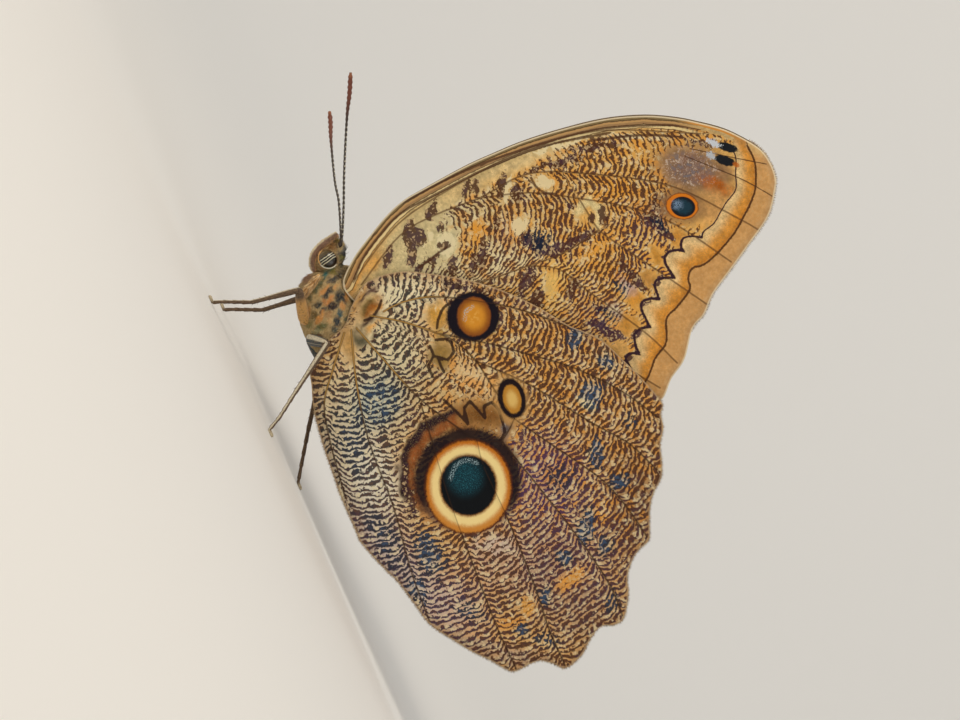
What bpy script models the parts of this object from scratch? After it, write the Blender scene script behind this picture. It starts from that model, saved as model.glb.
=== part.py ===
# Owl butterfly at rest, wings closed over its back, life size.
#
# Metres, +Z up. The head points to -X, the left side faces -Y, and the feet stand on Z = 0.
# The origin is under the middle of the whole butterfly. Shapes are worked out in millimetres
# from the tip of the middle left foot, and moved and scaled when each mesh is made.

import math

import bmesh
import bpy
import numpy as np
from mathutils import Vector
from mathutils.geometry import delaunay_2d_cdt

# Driving dimensions, in millimetres
FOREWING_LENGTH = 72.3
WING_THICKNESS = 0.5
VEIN_HEIGHT = 0.2
VEIN_HALF_WIDTH = 0.55
VEIN_TAPER = 0.35
WEB_SPACING = 6.0
WEB_CLEARANCE = 2.6
VEIN_FROM_EDGE = 0.7
RAIL_FROM_EDGE = 0.5
GAP = 0.3
THORAX_LENGTH = 14.8
THORAX_HALF_HEIGHT = 5.5
THORAX_HALF_WIDTH = 4.3
ABDOMEN_RADIUS = 3.1
HEAD_AXES = (2.3, 2.1, 3.0)
EYE_AXES = (1.62, 1.15, 1.42)
ANTENNA_RADIUS = 0.27
CLUB_RADIUS = 0.5
FOOT_RADIUS = 0.32
FOOT_FLAT = 1.3
MIDDLE_X = 28.05
MM = 0.001
SIDES = {-1: "left", 1: "right"}

# The wings are laid out on a flat chart seen from the left, u to the right and v down.
# The body stands on a slant there, so the chart turns by its roll about the middle left foot.
CHART_FOREWING = 434.0
CHART_FOOT = (212.6, 297.0)
CHART_ROLL = math.radians(66.27)
CHART_MM = FOREWING_LENGTH / CHART_FOREWING

FOREWING_OUTLINE = [
    (343.5, 282.6), (354, 258.7), (368, 239), (386, 216.6), (403, 201), (424, 188.6),
    (466, 166), (494, 153.5), (522, 142), (560, 130), (603.8, 119.5), (643.6, 116),
    (675.5, 118.3), (699.4, 123), (723.4, 129.5), (742.5, 138.3), (760, 149.4),
    (769.6, 162), (775.2, 176.5), (775.2, 189), (768, 216.4), (747.3, 246.7),
    (731.3, 269), (713, 294), (704, 314.6), (692.3, 329), (684.3, 359.3), (671.5, 378.4),
    (661, 400), (640, 402), (560, 388), (470, 356), (400, 328), (366, 310), (350, 297),
]
HINDWING_OUTLINE = [
    (364, 286), (374.6, 279.5), (386, 275), (403, 272), (420.5, 273), (459, 278.5),
    (497, 288.7), (535.7, 306), (567.6, 325), (592, 335), (606, 344), (622, 359.5),
    (640, 377), (661, 402), (660, 414), (662.5, 428), (659.6, 444), (661.4, 465),
    (660, 479), (653, 492.5), (650, 504), (649, 520), (648.7, 539), (640.7, 547.5),
    (632.7, 558), (627, 576), (628, 594.6), (623.5, 617.6), (614, 624.5), (604, 625),
    (597, 629), (589, 640.5), (581, 655), (566, 667.5), (553, 663), (541, 660),
    (531, 663), (514, 671), (503, 667), (489, 659), (472, 651), (455, 640.5),
    (430.7, 624.5), (415.8, 605), (398.5, 582), (381, 564.7), (362, 543), (356, 530),
    (342, 498), (334.4, 476.5), (326.8, 455), (321, 436), (314, 408), (312.2, 386),
    (310.9, 369), (320, 350), (333, 337), (345, 326), (351.7, 308),
]
FOREWING_VEINS = [
    [(354, 282.6), (382, 243), (410, 214.5), (466, 180), (522, 152), (600, 131), (700, 134)],
    [(362, 285), (400, 236), (438, 214), (480, 198), (528, 174), (590, 174), (670, 186),
     (737, 218), (763, 233)],
    [(480, 198), (530, 193), (578.6, 198.6), (629.6, 207.6), (675.5, 225), (731, 262)],
    [(578.6, 198.6), (587, 212), (599, 230.5), (622, 247), (655, 269), (709, 306)],
    [(366, 292), (420, 290), (480, 282), (527.6, 266), (563, 253.5), (599, 230.5)],
    [(527.6, 266), (558, 269), (589, 292), (645, 332.6), (677, 363)],
    [(480, 282), (540, 318), (600, 352), (660, 388)],
    [(366, 297), (430, 326), (520, 362), (640, 396)],
]
HINDWING_VEINS = [
    [(362, 301), (370, 290), (380, 296), (381.5, 308), (371, 324), (357, 326)],
    [(384, 312), (403, 302.5), (438, 297), (500, 305), (539.5, 316), (568, 327)],
    [(438, 333.5), (486, 343), (527, 354), (574, 368), (621, 391), (657, 417)],
    [(371, 316), (403, 322), (438, 333.5), (456, 342), (476, 361), (494, 389), (514, 418.5)],
    [(476, 361), (530, 385), (591, 422.5), (628, 443), (656, 469)],
    [(514, 418.5), (510, 428), (501.7, 441)],
    [(514, 418.5), (545, 440), (598.6, 477), (625, 505), (647, 537)],
    [(501.7, 441), (525.5, 470.5), (561.5, 515.5), (588, 551), (612, 589), (622, 615)],
    [(357, 328), (380, 355), (415, 394), (442, 416), (476.7, 439), (501.7, 441)],
    [(476.7, 439), (484, 467), (507, 517), (534, 584), (549, 629), (565, 665)],
    [(420, 400), (431.7, 440), (449.6, 500), (475.5, 570.5), (497, 627), (516, 668)],
    [(352, 330), (357, 382), (369.5, 442), (394, 508), (411, 570), (430, 622)],
    [(345, 333), (333, 372.5), (325, 403.5), (330.6, 441), (346, 498)],
]


def chart(u, v):
    """Place (x, z), in millimetres, of a point on the chart of the wings."""
    right = (u - CHART_FOOT[0]) * CHART_MM
    down = (v - CHART_FOOT[1]) * CHART_MM
    cos, sin = math.cos(CHART_ROLL), math.sin(CHART_ROLL)
    return np.array((right * cos + down * sin, right * sin - down * cos))


FOREWING_ROOT = chart(351, 284)
FOREWING_TORNUS = chart(661, 400)
THORAX_FRONT = np.array((3.5, 19.3))
THORAX_SLOPE = math.radians(-21.0)
ABDOMEN_SPINE = [(15.4, 15.2), (20.0, 13.9), (26.0, 12.2), (32.0, 10.4), (37.6, 9.0)]
HEAD_CENTRE = (2.0, 0.0, 20.5)
HEAD_TILT = math.radians(-20.0)
FRONS_CENTRE = (0.6, 0.0, 21.8)
FRONS_AXES = (1.2, 1.3, 1.3)
COLLAR_CENTRE = (4.9, 0.0, 20.6)
COLLAR_AXES = (1.8, 2.1, 2.05)
EYE_CENTRE = (2.0, 1.72, 20.15)
EYE_TILT = math.radians(-25.0)

# Each palp as x, distance from the middle plane, z and radius, from the mouth to its tip
PALP_PATH = [
    (2.9, 0.75, 17.2, 0.42), (1.2, 0.78, 17.6, 0.62), (-0.05, 0.76, 18.9, 0.72),
    (-0.75, 0.72, 20.6, 0.68), (-1.15, 0.62, 22.2, 0.5), (-1.4, 0.52, 23.3, 0.3),
]
PALP_FLATTEN = 0.72

# The antennae on the wing chart, and how far they spread at their tips
ANTENNA_KNOTS = {
    "left": [(337.5, 249), (342, 239), (344.2, 207.8), (345.3, 173.3), (348.8, 121.7),
             (351.7, 98.7), (353.2, 78.6)],
    "right": [(337.5, 249), (340.3, 238), (337.9, 202), (333.3, 179), (328.7, 139),
              (327.6, 118), (326.4, 106.7)],
}
ANTENNA_START = 0.75
ANTENNA_SPREAD = 12.3

# The short front legs, folded against the chest, as x, z and radius
FORELEG_PATH = [(4.5, 17.6, 0.5), (5.2, 16.5, 0.6), (6.0, 15.4, 0.6), (6.8, 14.5, 0.48), (7.3, 14.0, 0.3)]
FORELEG_SUNK = 0.25

# Hip, knee, ankle, heel and toe of each walking leg, y measured outwards
LEG_JOINTS = {
    "midleg_left": ((9.7, 2.3, 12.5), (5.0, 8.0, 13.9), (3.8, 9.3, 6.1), (1.7, 9.9, 1.5), (0.0, 10.2, 0.0)),
    "midleg_right": ((9.7, 2.3, 12.5), (5.9, 8.3, 14.1), (5.0, 9.7, 6.3), (2.8, 10.3, 1.6), (1.0, 10.6, 0.0)),
    "hindleg_left": ((13.1, 2.1, 12.1), (15.0, 7.7, 14.6), (20.2, 8.3, 6.6), (22.9, 8.2, 2.6),
                     (25.4, 8.0, 0.0)),
    "hindleg_right": ((13.1, 2.1, 12.1), (17.6, 8.6, 11.9), (26.8, 7.4, 5.2), (31.6, 6.4, 1.9),
                      (35.4, 5.6, 0.0)),
}
HIP_RADIUS = 0.95
HIP_SUNK = (0.2, -1.6, 1.8)

# The stalks that the wings grow from, as x, y, z and radius
FOREWING_STALK = [(8.6, 1.4, 18.4, 0.9), (8.4, 2.2, 20.2, 0.75), (8.5, 2.85, 22.0, 0.38)]
HINDWING_STALK = [(12.6, 2.0, 16.6, 0.9), (13.0, 2.8, 18.4, 0.75), (13.6, 3.5, 20.2, 0.38)]
FAR_FOREWING_SWING = math.radians(0.35)

# Along the thorax: share of its length, half height and half width as shares of the largest
THORAX_PROFILE = [
    (0.0, 0.0, 0.0), (0.01, 0.36, 0.34), (0.045, 0.6, 0.56), (0.12, 0.79, 0.76),
    (0.22, 0.91, 0.9), (0.34, 0.98, 0.98), (0.46, 1.0, 1.0), (0.6, 0.96, 0.97),
    (0.74, 0.85, 0.87), (0.86, 0.69, 0.72), (0.95, 0.5, 0.52), (0.99, 0.28, 0.3), (1.0, 0.0, 0.0),
]
ABDOMEN_SEGMENTS = 8


def clear_scene():
    for obj in list(bpy.data.objects):
        bpy.data.objects.remove(obj, do_unlink=True)


def linear(code):
    """Linear colour of an sRGB hex code."""
    shares = [int(code[i : i + 2], 16) / 255 for i in (1, 3, 5)]
    return [c / 12.92 if c <= 0.04045 else ((c + 0.055) / 1.055) ** 2.4 for c in shares] + [1.0]


def material(name, colour, roughness, coat=0.0):
    made = bpy.data.materials.new(name)
    made.use_nodes = True
    shader = made.node_tree.nodes["Principled BSDF"]
    shader.inputs["Base Color"].default_value = linear(colour)
    shader.inputs["Roughness"].default_value = roughness
    shader.inputs["Metallic"].default_value = 0.0
    shader.inputs["Coat Weight"].default_value = coat
    made.diffuse_color = linear(colour)
    return made


def add_object(name, points, faces, finish=None, sharp=math.radians(40)):
    """An object from points in millimetres, shaded smooth."""
    mesh = bpy.data.meshes.new(name)
    places = [((x - MIDDLE_X) * MM, y * MM, z * MM) for x, y, z in points]
    mesh.from_pydata(places, [], [tuple(int(i) for i in face) for face in faces])
    mesh.validate()
    if finish:
        mesh.materials.append(finish)
    mesh.shade_smooth()
    mesh.set_sharp_from_angle(angle=sharp)
    obj = bpy.data.objects.new(name, mesh)
    bpy.context.scene.collection.objects.link(obj)
    return obj


def apply_modifiers(obj):
    bpy.context.view_layer.update()
    graph = bpy.context.evaluated_depsgraph_get()
    mesh = bpy.data.meshes.new_from_object(obj.evaluated_get(graph))
    obj.modifiers.clear()
    obj.data = mesh


def keep_largest(obj):
    """Keeps only the largest closed surface of a mesh."""
    shape = bmesh.new()
    shape.from_mesh(obj.data)
    left = set(shape.faces)
    islands = []
    while left:
        island, front = set(), [left.pop()]
        while front:
            face = front.pop()
            island.add(face)
            for edge in face.edges:
                for other in edge.link_faces:
                    if other in left:
                        left.discard(other)
                        front.append(other)
        islands.append(island)
    islands.sort(key=lambda island: sum(face.calc_area() for face in island))
    scraps = [face for island in islands[:-1] for face in island]
    bmesh.ops.delete(shape, geom=scraps, context="FACES")
    shape.to_mesh(obj.data)
    shape.free()


def combine(obj, others, operation):
    """Joins other closed meshes to an object, or cuts them from it, and removes them."""
    tools = bpy.data.collections.new(obj.name + "_tools")
    bpy.context.scene.collection.children.link(tools)
    for other in others:
        other.hide_render = True
        other.display_type = "WIRE"
        for home in list(other.users_collection):
            home.objects.unlink(other)
        tools.objects.link(other)
    boolean = obj.modifiers.new("combine", "BOOLEAN")
    boolean.operation = operation
    boolean.operand_type = "COLLECTION"
    boolean.collection = tools
    boolean.solver = "EXACT"
    apply_modifiers(obj)
    for other in others:
        bpy.data.objects.remove(other, do_unlink=True)
    bpy.data.collections.remove(tools)
    keep_largest(obj)
    obj.data.shade_smooth()
    obj.data.set_sharp_from_angle(angle=math.radians(40))


def spline(points, step, closed=False):
    """Points about a step apart on a smooth curve through the given ones."""
    knots = [np.array(p, float) for p in points]
    count = len(knots)
    spans = count if closed else count - 1
    found = []
    for i in range(spans):
        if closed:
            a, b, c, d = (knots[(i + k) % count] for k in (-1, 0, 1, 2))
        else:
            b, c = knots[i], knots[i + 1]
            a = knots[i - 1] if i else b + b - c
            d = knots[i + 2] if i + 2 < count else c + c - b
        length = np.linalg.norm((c - b)[:2]) if len(b) == 2 else np.linalg.norm((c - b)[:3])
        parts = max(1, round(length / step))
        for k in range(parts):
            t = k / parts
            found.append(
                0.5 * (2 * b + (c - a) * t + (2 * a - 5 * b + 4 * c - d) * t**2
                       + (3 * b - a - 3 * c + d) * t**3)
            )
    if not closed:
        found.append(knots[-1])
    return np.array(found)


def blend(value, low, high):
    """0 below low, 1 above high, and smooth between them."""
    t = np.clip((value - low) / (high - low), 0.0, 1.0)
    return t * t * (3 - 2 * t)


def skin_rings(rings):
    """Points and faces of a closed skin over rings of points, each end closed by a fan."""
    sides = len(rings[0])
    points = [p for ring in rings for p in ring]
    faces = []
    for r in range(len(rings) - 1):
        for k in range(sides):
            a, b = r * sides + k, r * sides + (k + 1) % sides
            faces.append((a, b, b + sides, a + sides))
    for end, turned in ((0, True), (len(rings) - 1, False)):
        centre = len(points)
        points.append(np.mean(rings[end], axis=0))
        for k in range(sides):
            a, b = end * sides + k, end * sides + (k + 1) % sides
            faces.append((b, a, centre) if turned else (a, b, centre))
    return points, faces


def facing_out(points, faces):
    """The faces, turned round if they point inwards."""
    volume = 0.0
    for face in faces:
        for k in range(1, len(face) - 1):
            a, b, c = (np.asarray(points[i]) for i in (face[0], face[k], face[k + 1]))
            volume += np.dot(a, np.cross(b, c))
    return faces if volume > 0 else [tuple(reversed(face)) for face in faces]


def ellipsoid(name, centre, axes, tilt, finish=None, grow=0.0, rings=10, sides=18):
    """An ellipsoid with axes along x, y and z, tilted about y."""
    cos, sin = math.cos(tilt), math.sin(tilt)
    a, b, c = (axis + grow for axis in axes)
    rows = []
    for i in range(1, rings):
        polar = math.pi * i / rings
        row = []
        for k in range(sides):
            turn = math.tau * k / sides
            x = a * math.sin(polar) * math.cos(turn)
            y = b * math.sin(polar) * math.sin(turn)
            z = c * math.cos(polar)
            row.append((centre[0] + x * cos + z * sin, centre[1] + y, centre[2] - x * sin + z * cos))
        rows.append(np.array(row))
    points, faces = skin_rings(rows)
    top = (centre[0] + c * sin, centre[1], centre[2] + c * cos)
    low = (centre[0] - c * sin, centre[1], centre[2] - c * cos)
    points[-2], points[-1] = top, low
    return add_object(name, points, facing_out(points, faces), finish)


def tube(name, path, finish=None, grow=0.0, sides=8, flatten=1.0, floor=None):
    """A tapered tube along rows of x, y, z and radius. It is flattened across y."""
    path = np.array(path, float)
    rings = []
    across = np.array((0.0, 1.0, 0.0))
    for i, (x, y, z, radius) in enumerate(path):
        before = path[max(i - 1, 0), :3]
        after = path[min(i + 1, len(path) - 1), :3]
        along = (after - before) / np.linalg.norm(after - before)
        side = across - along * np.dot(across, along)
        side /= np.linalg.norm(side)
        up = np.cross(along, side)
        ring = []
        for k in range(sides):
            turn = math.tau * (k + 0.5) / sides
            reach = radius + grow
            point = (
                np.array((x, y, z))
                + side * math.cos(turn) * (radius * flatten + grow)
                + up * math.sin(turn) * reach
            )
            if floor is not None:
                point[2] = max(point[2], floor)
            ring.append(point)
        rings.append(np.array(ring))
        across = side
    points, faces = skin_rings(rings)
    return add_object(name, points, facing_out(points, faces), finish)


def thorax_shape(name, finish=None, grow=0.0, sides=24):
    cos, sin = math.cos(THORAX_SLOPE), math.sin(THORAX_SLOPE)
    rings = []
    for share, high, wide in THORAX_PROFILE[1:-1]:
        reach = (share - 0.5) * (THORAX_LENGTH + 2 * grow) + 0.5 * THORAX_LENGTH
        x, z = THORAX_FRONT + reach * np.array((cos, sin))
        ring = []
        for k in range(sides):
            turn = math.tau * (k + 0.5) / sides
            rise = math.sin(turn) * (high * THORAX_HALF_HEIGHT + grow)
            wide_here = math.cos(turn) * (wide * THORAX_HALF_WIDTH + grow)
            ring.append((x - sin * rise, wide_here, z + cos * rise))
        rings.append(np.array(ring))
    points, faces = skin_rings(rings)
    for index, reach in ((-2, -grow), (-1, THORAX_LENGTH + grow)):
        x, z = THORAX_FRONT + reach * np.array((cos, sin))
        points[index] = (x, 0.0, z)
    return add_object(name, points, facing_out(points, faces), finish)


def thorax_half_width(x, z):
    """Half width of the thorax at a place beside it, or 0 outside its outline."""
    cos, sin = math.cos(THORAX_SLOPE), math.sin(THORAX_SLOPE)
    dx, dz = x - THORAX_FRONT[0], z - THORAX_FRONT[1]
    share = (dx * cos + dz * sin) / THORAX_LENGTH
    rise = -dx * sin + dz * cos
    shares, highs, wides = zip(*THORAX_PROFILE)
    high = np.interp(share, shares, highs) * THORAX_HALF_HEIGHT
    wide = np.interp(share, shares, wides) * THORAX_HALF_WIDTH
    if high <= abs(rise):
        return 0.0
    return wide * math.sqrt(1 - (rise / high) ** 2)


def abdomen_radius(share):
    """Radius of the abdomen along its length: full near the front, drawn in at the tip."""
    swell = 0.82 + 0.18 * math.sin(math.pi * min(share / 0.5, 1.0) / 2)
    taper = 1 - 0.62 * max(0.0, (share - 0.35) / 0.65) ** 1.7
    return ABDOMEN_RADIUS * swell * taper


def abdomen_shape(name, finish):
    path = spline(ABDOMEN_SPINE, 0.4)
    count = ABDOMEN_SEGMENTS
    rows = []
    for i in range(count * 3 + 1):
        share = i / (count * 3)
        x, z = path[min(int(share * (len(path) - 1)), len(path) - 1)]
        ring_groove = 0.95 if i % 3 == 0 and 0 < i < count * 3 else 1.0
        rows.append((x, 0.0, z, abdomen_radius(share) * ring_groove))
    x, z = path[-1]
    slope = (path[-1] - path[-3]) / np.linalg.norm(path[-1] - path[-3])
    rows.append((x + 0.5 * slope[0], 0.0, z + 0.5 * slope[1], abdomen_radius(1.0) * 0.55))
    return tube(name, rows, finish, sides=16)


def abdomen_clearance(x, z):
    """Distance from the abdomen's axis in side view, and the radius there."""
    path = spline(ABDOMEN_SPINE, 1.0)
    away = np.hypot(path[:, 0][None] - x[:, None], path[:, 1][None] - z[:, None])
    nearest = away.argmin(axis=1)
    shares = nearest / (len(path) - 1)
    radii = np.array([abdomen_radius(share) for share in shares])
    return away.min(axis=1), radii


def forewing_lateral(x, z):
    """How far the middle of the forewing's membrane lies from the butterfly's middle plane."""
    away = np.hypot(x - FOREWING_ROOT[0], z - FOREWING_ROOT[1])
    return 0.68 + 2.4 * np.exp(-((away / 11.0) ** 2))


def hindwing_lateral(x, z):
    """The hindwing lies outside the forewing, comes in below it, and bulges round the abdomen."""
    along = (FOREWING_TORNUS - FOREWING_ROOT) / np.linalg.norm(FOREWING_TORNUS - FOREWING_ROOT)
    below = (x - FOREWING_ROOT[0]) * along[1] - (z - FOREWING_ROOT[1]) * along[0]
    flat = forewing_lateral(x, z) + 1.25 - 0.95 * blend(below, 6.0, 26.0)
    away, radii = abdomen_clearance(x, z)
    bulge = np.maximum(radii + 0.95 - flat, 0.0)
    return flat + bulge * np.exp(-((away / np.maximum(1.6 * radii, 3.4)) ** 2))


def distance_to_line(points, line):
    """Distance from each point to a polyline, and how far along it the nearest place is."""
    best = np.full(len(points), np.inf)
    share = np.zeros(len(points))
    lengths = np.linalg.norm(np.diff(line, axis=0), axis=1)
    starts = np.concatenate(([0.0], np.cumsum(lengths)))
    for a, b, start, length in zip(line[:-1], line[1:], starts, lengths):
        t = np.clip(((points - a) @ (b - a)) / length**2, 0.0, 1.0)
        away = np.linalg.norm(points - (a + t[:, None] * (b - a)), axis=1)
        closer = away < best
        best = np.where(closer, away, best)
        share = np.where(closer, (start + t * length) / starts[-1], share)
    return best, share


def vein_rise(points, veins):
    """Height of the vein ridges at points of the wing: a low roof that fades towards the edge."""
    rise = np.zeros(len(points))
    for vein in veins:
        away, share = distance_to_line(points, vein)
        width = VEIN_HALF_WIDTH * (1 - VEIN_TAPER * share)
        height = VEIN_HEIGHT * (1 - blend(share, 0.9, 1.0))
        rise = np.maximum(rise, height * np.clip(1 - away / width, 0.0, 1.0))
    return rise


def inside(points, outline):
    x, z = points[:, 0], points[:, 1]
    found = np.zeros(len(points), bool)
    for a, b in zip(outline, np.roll(outline, -1, axis=0)):
        crosses = (a[1] > z) != (b[1] > z)
        slope = (b[0] - a[0]) / (b[1] - a[1]) if b[1] != a[1] else 0.0
        found ^= crosses & (x < a[0] + (z - a[1]) * slope)
    return found


def abdomen_rows():
    """Rows of points along the abdomen in side view, where the hindwing bulges round it."""
    path = spline(ABDOMEN_SPINE, 2.4)
    along = np.gradient(path, axis=0)
    along /= np.linalg.norm(along, axis=1)[:, None]
    normal = np.column_stack((-along[:, 1], along[:, 0]))
    return np.vstack([path + normal * shift for shift in (0.0, 2.2, -2.2, 4.4, -4.4)])


def wing_triangles(outline, veins, extra):
    """Points and triangles of the flat wing: its edge, its veins as three rows, and the web."""
    edge = np.vstack((outline, outline[:1]))
    points = [tuple(p) for p in outline]
    count = len(points)
    edges = [(i, (i + 1) % count) for i in range(count)]

    def add_row(row, keep, nearest):
        last = None
        for point, kept in zip(row, keep):
            if not kept:
                last = None
                continue
            away = np.hypot(*(np.array(points) - point).T)
            if away.min() < nearest:
                index = int(away.argmin())
            else:
                index = len(points)
                points.append(tuple(point))
            if last is not None and last != index and index >= count and last >= count:
                edges.append((last, index))
            last = index

    for vein in veins:
        clear = inside(vein, outline) & (distance_to_line(vein, edge)[0] > VEIN_FROM_EDGE)
        add_row(vein, clear, 0.45)
    for number, vein in enumerate(veins):
        along = np.gradient(vein, axis=0)
        along /= np.linalg.norm(along, axis=1)[:, None]
        normal = np.column_stack((-along[:, 1], along[:, 0]))
        shares = np.linspace(0.0, 1.0, len(vein))
        width = VEIN_HALF_WIDTH * (1 - VEIN_TAPER * shares)
        for side in (1, -1):
            rail = vein + side * normal * width[:, None]
            keep = inside(rail, outline) & (distance_to_line(rail, edge)[0] > RAIL_FROM_EDGE)
            for other, line in enumerate(veins):
                if other != number:
                    keep &= distance_to_line(rail, line)[0] > VEIN_HALF_WIDTH * 1.15
            add_row(rail, keep, 0.3)
    for place in extra:
        away = np.hypot(*(np.array(points) - place).T).min()
        if away > 1.1 and inside(place[None], outline)[0]:
            points.append(tuple(place))
    lows, highs = outline.min(axis=0), outline.max(axis=0)
    for row, z in enumerate(np.arange(lows[1], highs[1], WEB_SPACING * 0.87)):
        for x in np.arange(lows[0] + (row % 2) * WEB_SPACING / 2, highs[0], WEB_SPACING):
            place = np.array((x, z))
            away = np.hypot(*(np.array(points) - place).T).min()
            if away > WEB_CLEARANCE and inside(place[None], outline)[0]:
                points.append(tuple(place))
    found = delaunay_2d_cdt([Vector(p) for p in points], edges, [], 1, 1e-4)
    return np.array([tuple(p) for p in found[0]]), np.array([tuple(f) for f in found[2]])


def turned(points, centre, angle):
    cos, sin = math.cos(angle), math.sin(angle)
    moved = np.asarray(points) - centre
    return centre + np.column_stack((moved[:, 0] * cos - moved[:, 1] * sin,
                                     moved[:, 0] * sin + moved[:, 1] * cos))


def wing(name, outline, veins, extra, lateral, side, swing, root, finish):
    """A wing: one membrane with raised veins, split alike on both faces, on a short root."""
    place = turned(spline([chart(*p) for p in outline], 2.1, closed=True), FOREWING_ROOT, swing)
    lines = [turned(spline([chart(*p) for p in vein], 3.6), FOREWING_ROOT, swing) for vein in veins]
    flat, triangles = wing_triangles(place, lines, extra)
    middle = lateral(flat[:, 0], flat[:, 1])
    half = WING_THICKNESS / 2 + vein_rise(flat, lines)
    count = len(flat)
    outer = np.column_stack((flat[:, 0], side * (middle + half), flat[:, 1]))
    inner = np.column_stack((flat[:, 0], side * (middle - half), flat[:, 1]))
    points = np.vstack((outer, inner))
    a, b, c = flat[triangles[:, 0]], flat[triangles[:, 1]], flat[triangles[:, 2]]
    area = (b - a)[:, 0] * (c - a)[:, 1] - (b - a)[:, 1] * (c - a)[:, 0]
    triangles = np.where((area > 0)[:, None], triangles, triangles[:, ::-1])
    faces = [tuple(t) for t in triangles] + [tuple(t[::-1] + count) for t in triangles]
    used = {}
    for t in triangles:
        for i, j in ((t[0], t[1]), (t[1], t[2]), (t[2], t[0])):
            used[(i, j)] = used.get((i, j), 0) + 1
    for i, j in used:
        if (j, i) not in used:
            faces.append((j, i, i + count))
            faces.append((j, i + count, j + count))
    obj = add_object(name, points, facing_out(points, faces), finish, math.radians(60))
    stalk = tube(name + "_root", [(x, side * y, z, r) for x, y, z, r in root])
    combine(obj, [stalk], "UNION")
    combine(obj, thorax_cuts(name), "DIFFERENCE")


def foreleg_path(side):
    """The short front leg, folded back against the chest."""
    return [
        (x, side * (thorax_half_width(x, z) + FORELEG_SUNK), z, radius) for x, z, radius in FORELEG_PATH
    ]


def leg_path(hip, knee, ankle, heel, toe, side):
    """Rows of a leg: a sunk hip, femur to the knee, tibia to the ankle, tarsus flat on the floor."""
    hip, knee, ankle, heel, toe = (np.array(p, float) for p in (hip, knee, ankle, heel, toe))
    rest = FOOT_RADIUS * 0.7
    stations = [
        (hip + np.array(HIP_SUNK), HIP_RADIUS), (hip, HIP_RADIUS),
        (hip * 0.72 + knee * 0.28, 0.85), (hip * 0.35 + knee * 0.65, 0.78),
        (hip * 0.1 + knee * 0.9, 0.64), (knee, 0.56),
        (knee * 0.86 + ankle * 0.14, 0.54), (knee * 0.5 + ankle * 0.5, 0.5),
        (knee * 0.12 + ankle * 0.88, 0.46), (ankle, 0.42),
        (ankle * 0.5 + heel * 0.5, 0.38), (heel, 0.34),
    ]
    flat = toe - heel
    flat[2] = 0.0
    flat /= np.linalg.norm(flat)
    for back, thin in ((FOOT_FLAT, 1.0), (0.25, 1.0), (0.0, 0.7)):
        place = toe - flat * back
        place[2] = rest * thin
        stations.append((place, FOOT_RADIUS * thin))
    return [(place[0], side * place[1], place[2], radius) for place, radius in stations]


def thorax_cuts(name):
    """Cutters a gap larger than the thorax and its collar."""
    return [
        thorax_shape(name + "_chest", grow=GAP),
        ellipsoid(name + "_collar", COLLAR_CENTRE, COLLAR_AXES, HEAD_TILT, grow=GAP),
    ]


def head_cuts(name):
    """Cutters a gap larger than the head and its frons."""
    return [
        ellipsoid(name + "_head", HEAD_CENTRE, HEAD_AXES, HEAD_TILT, grow=GAP, rings=12, sides=20),
        ellipsoid(name + "_frons", FRONS_CENTRE, FRONS_AXES, HEAD_TILT, grow=GAP),
    ]


def eye_place(side):
    x, y, z = EYE_CENTRE
    return (x, side * y, z)


def eye_cut(name, side):
    return ellipsoid(name, eye_place(side), EYE_AXES, EYE_TILT, grow=GAP)


def add_body(thorax_fur, head_fur, belly_fur, lens):
    """Thorax with its collar, head with its frons, both eyes, and the abdomen."""
    thorax = thorax_shape("thorax", thorax_fur)
    combine(thorax, [ellipsoid("collar", COLLAR_CENTRE, COLLAR_AXES, HEAD_TILT)], "UNION")
    combine(thorax, [eye_cut(f"orbit_{side}", side) for side in SIDES], "DIFFERENCE")
    head = ellipsoid("head", HEAD_CENTRE, HEAD_AXES, HEAD_TILT, head_fur, rings=12, sides=20)
    combine(head, [ellipsoid("frons", FRONS_CENTRE, FRONS_AXES, HEAD_TILT)], "UNION")
    sockets = [eye_cut(f"socket_{side}", side) for side in SIDES]
    combine(head, sockets + thorax_cuts("neck"), "DIFFERENCE")
    for side, word in SIDES.items():
        ellipsoid("eye_" + word, eye_place(side), EYE_AXES, EYE_TILT, lens)
    abdomen = abdomen_shape("abdomen", belly_fur)
    combine(abdomen, thorax_cuts("waist"), "DIFFERENCE")


def add_palp(side, word, finish):
    palp = [(x, side * y, z, radius) for x, y, z, radius in spline(PALP_PATH, 0.7)]
    obj = tube("palp_" + word, palp, finish, sides=10, flatten=PALP_FLATTEN)
    combine(obj, head_cuts("palp") + thorax_cuts("palp") + [eye_cut("palp_eye", side)], "DIFFERENCE")


def add_antenna(side, word, finish):
    line = spline([chart(*p) for p in ANTENNA_KNOTS[word]], 2.2)
    rows = []
    for i, (x, z) in enumerate(line):
        share = i / (len(line) - 1)
        y = ANTENNA_START + (ANTENNA_SPREAD - ANTENNA_START) * share**1.15
        club = blend(share, 0.72, 0.93) * (1 - 0.55 * blend(share, 0.95, 1.0))
        rows.append((x, side * y, z, ANTENNA_RADIUS + (CLUB_RADIUS - ANTENNA_RADIUS) * club))
    obj = tube("antenna_" + word, rows, finish, sides=8)
    combine(obj, head_cuts("antenna"), "DIFFERENCE")


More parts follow.
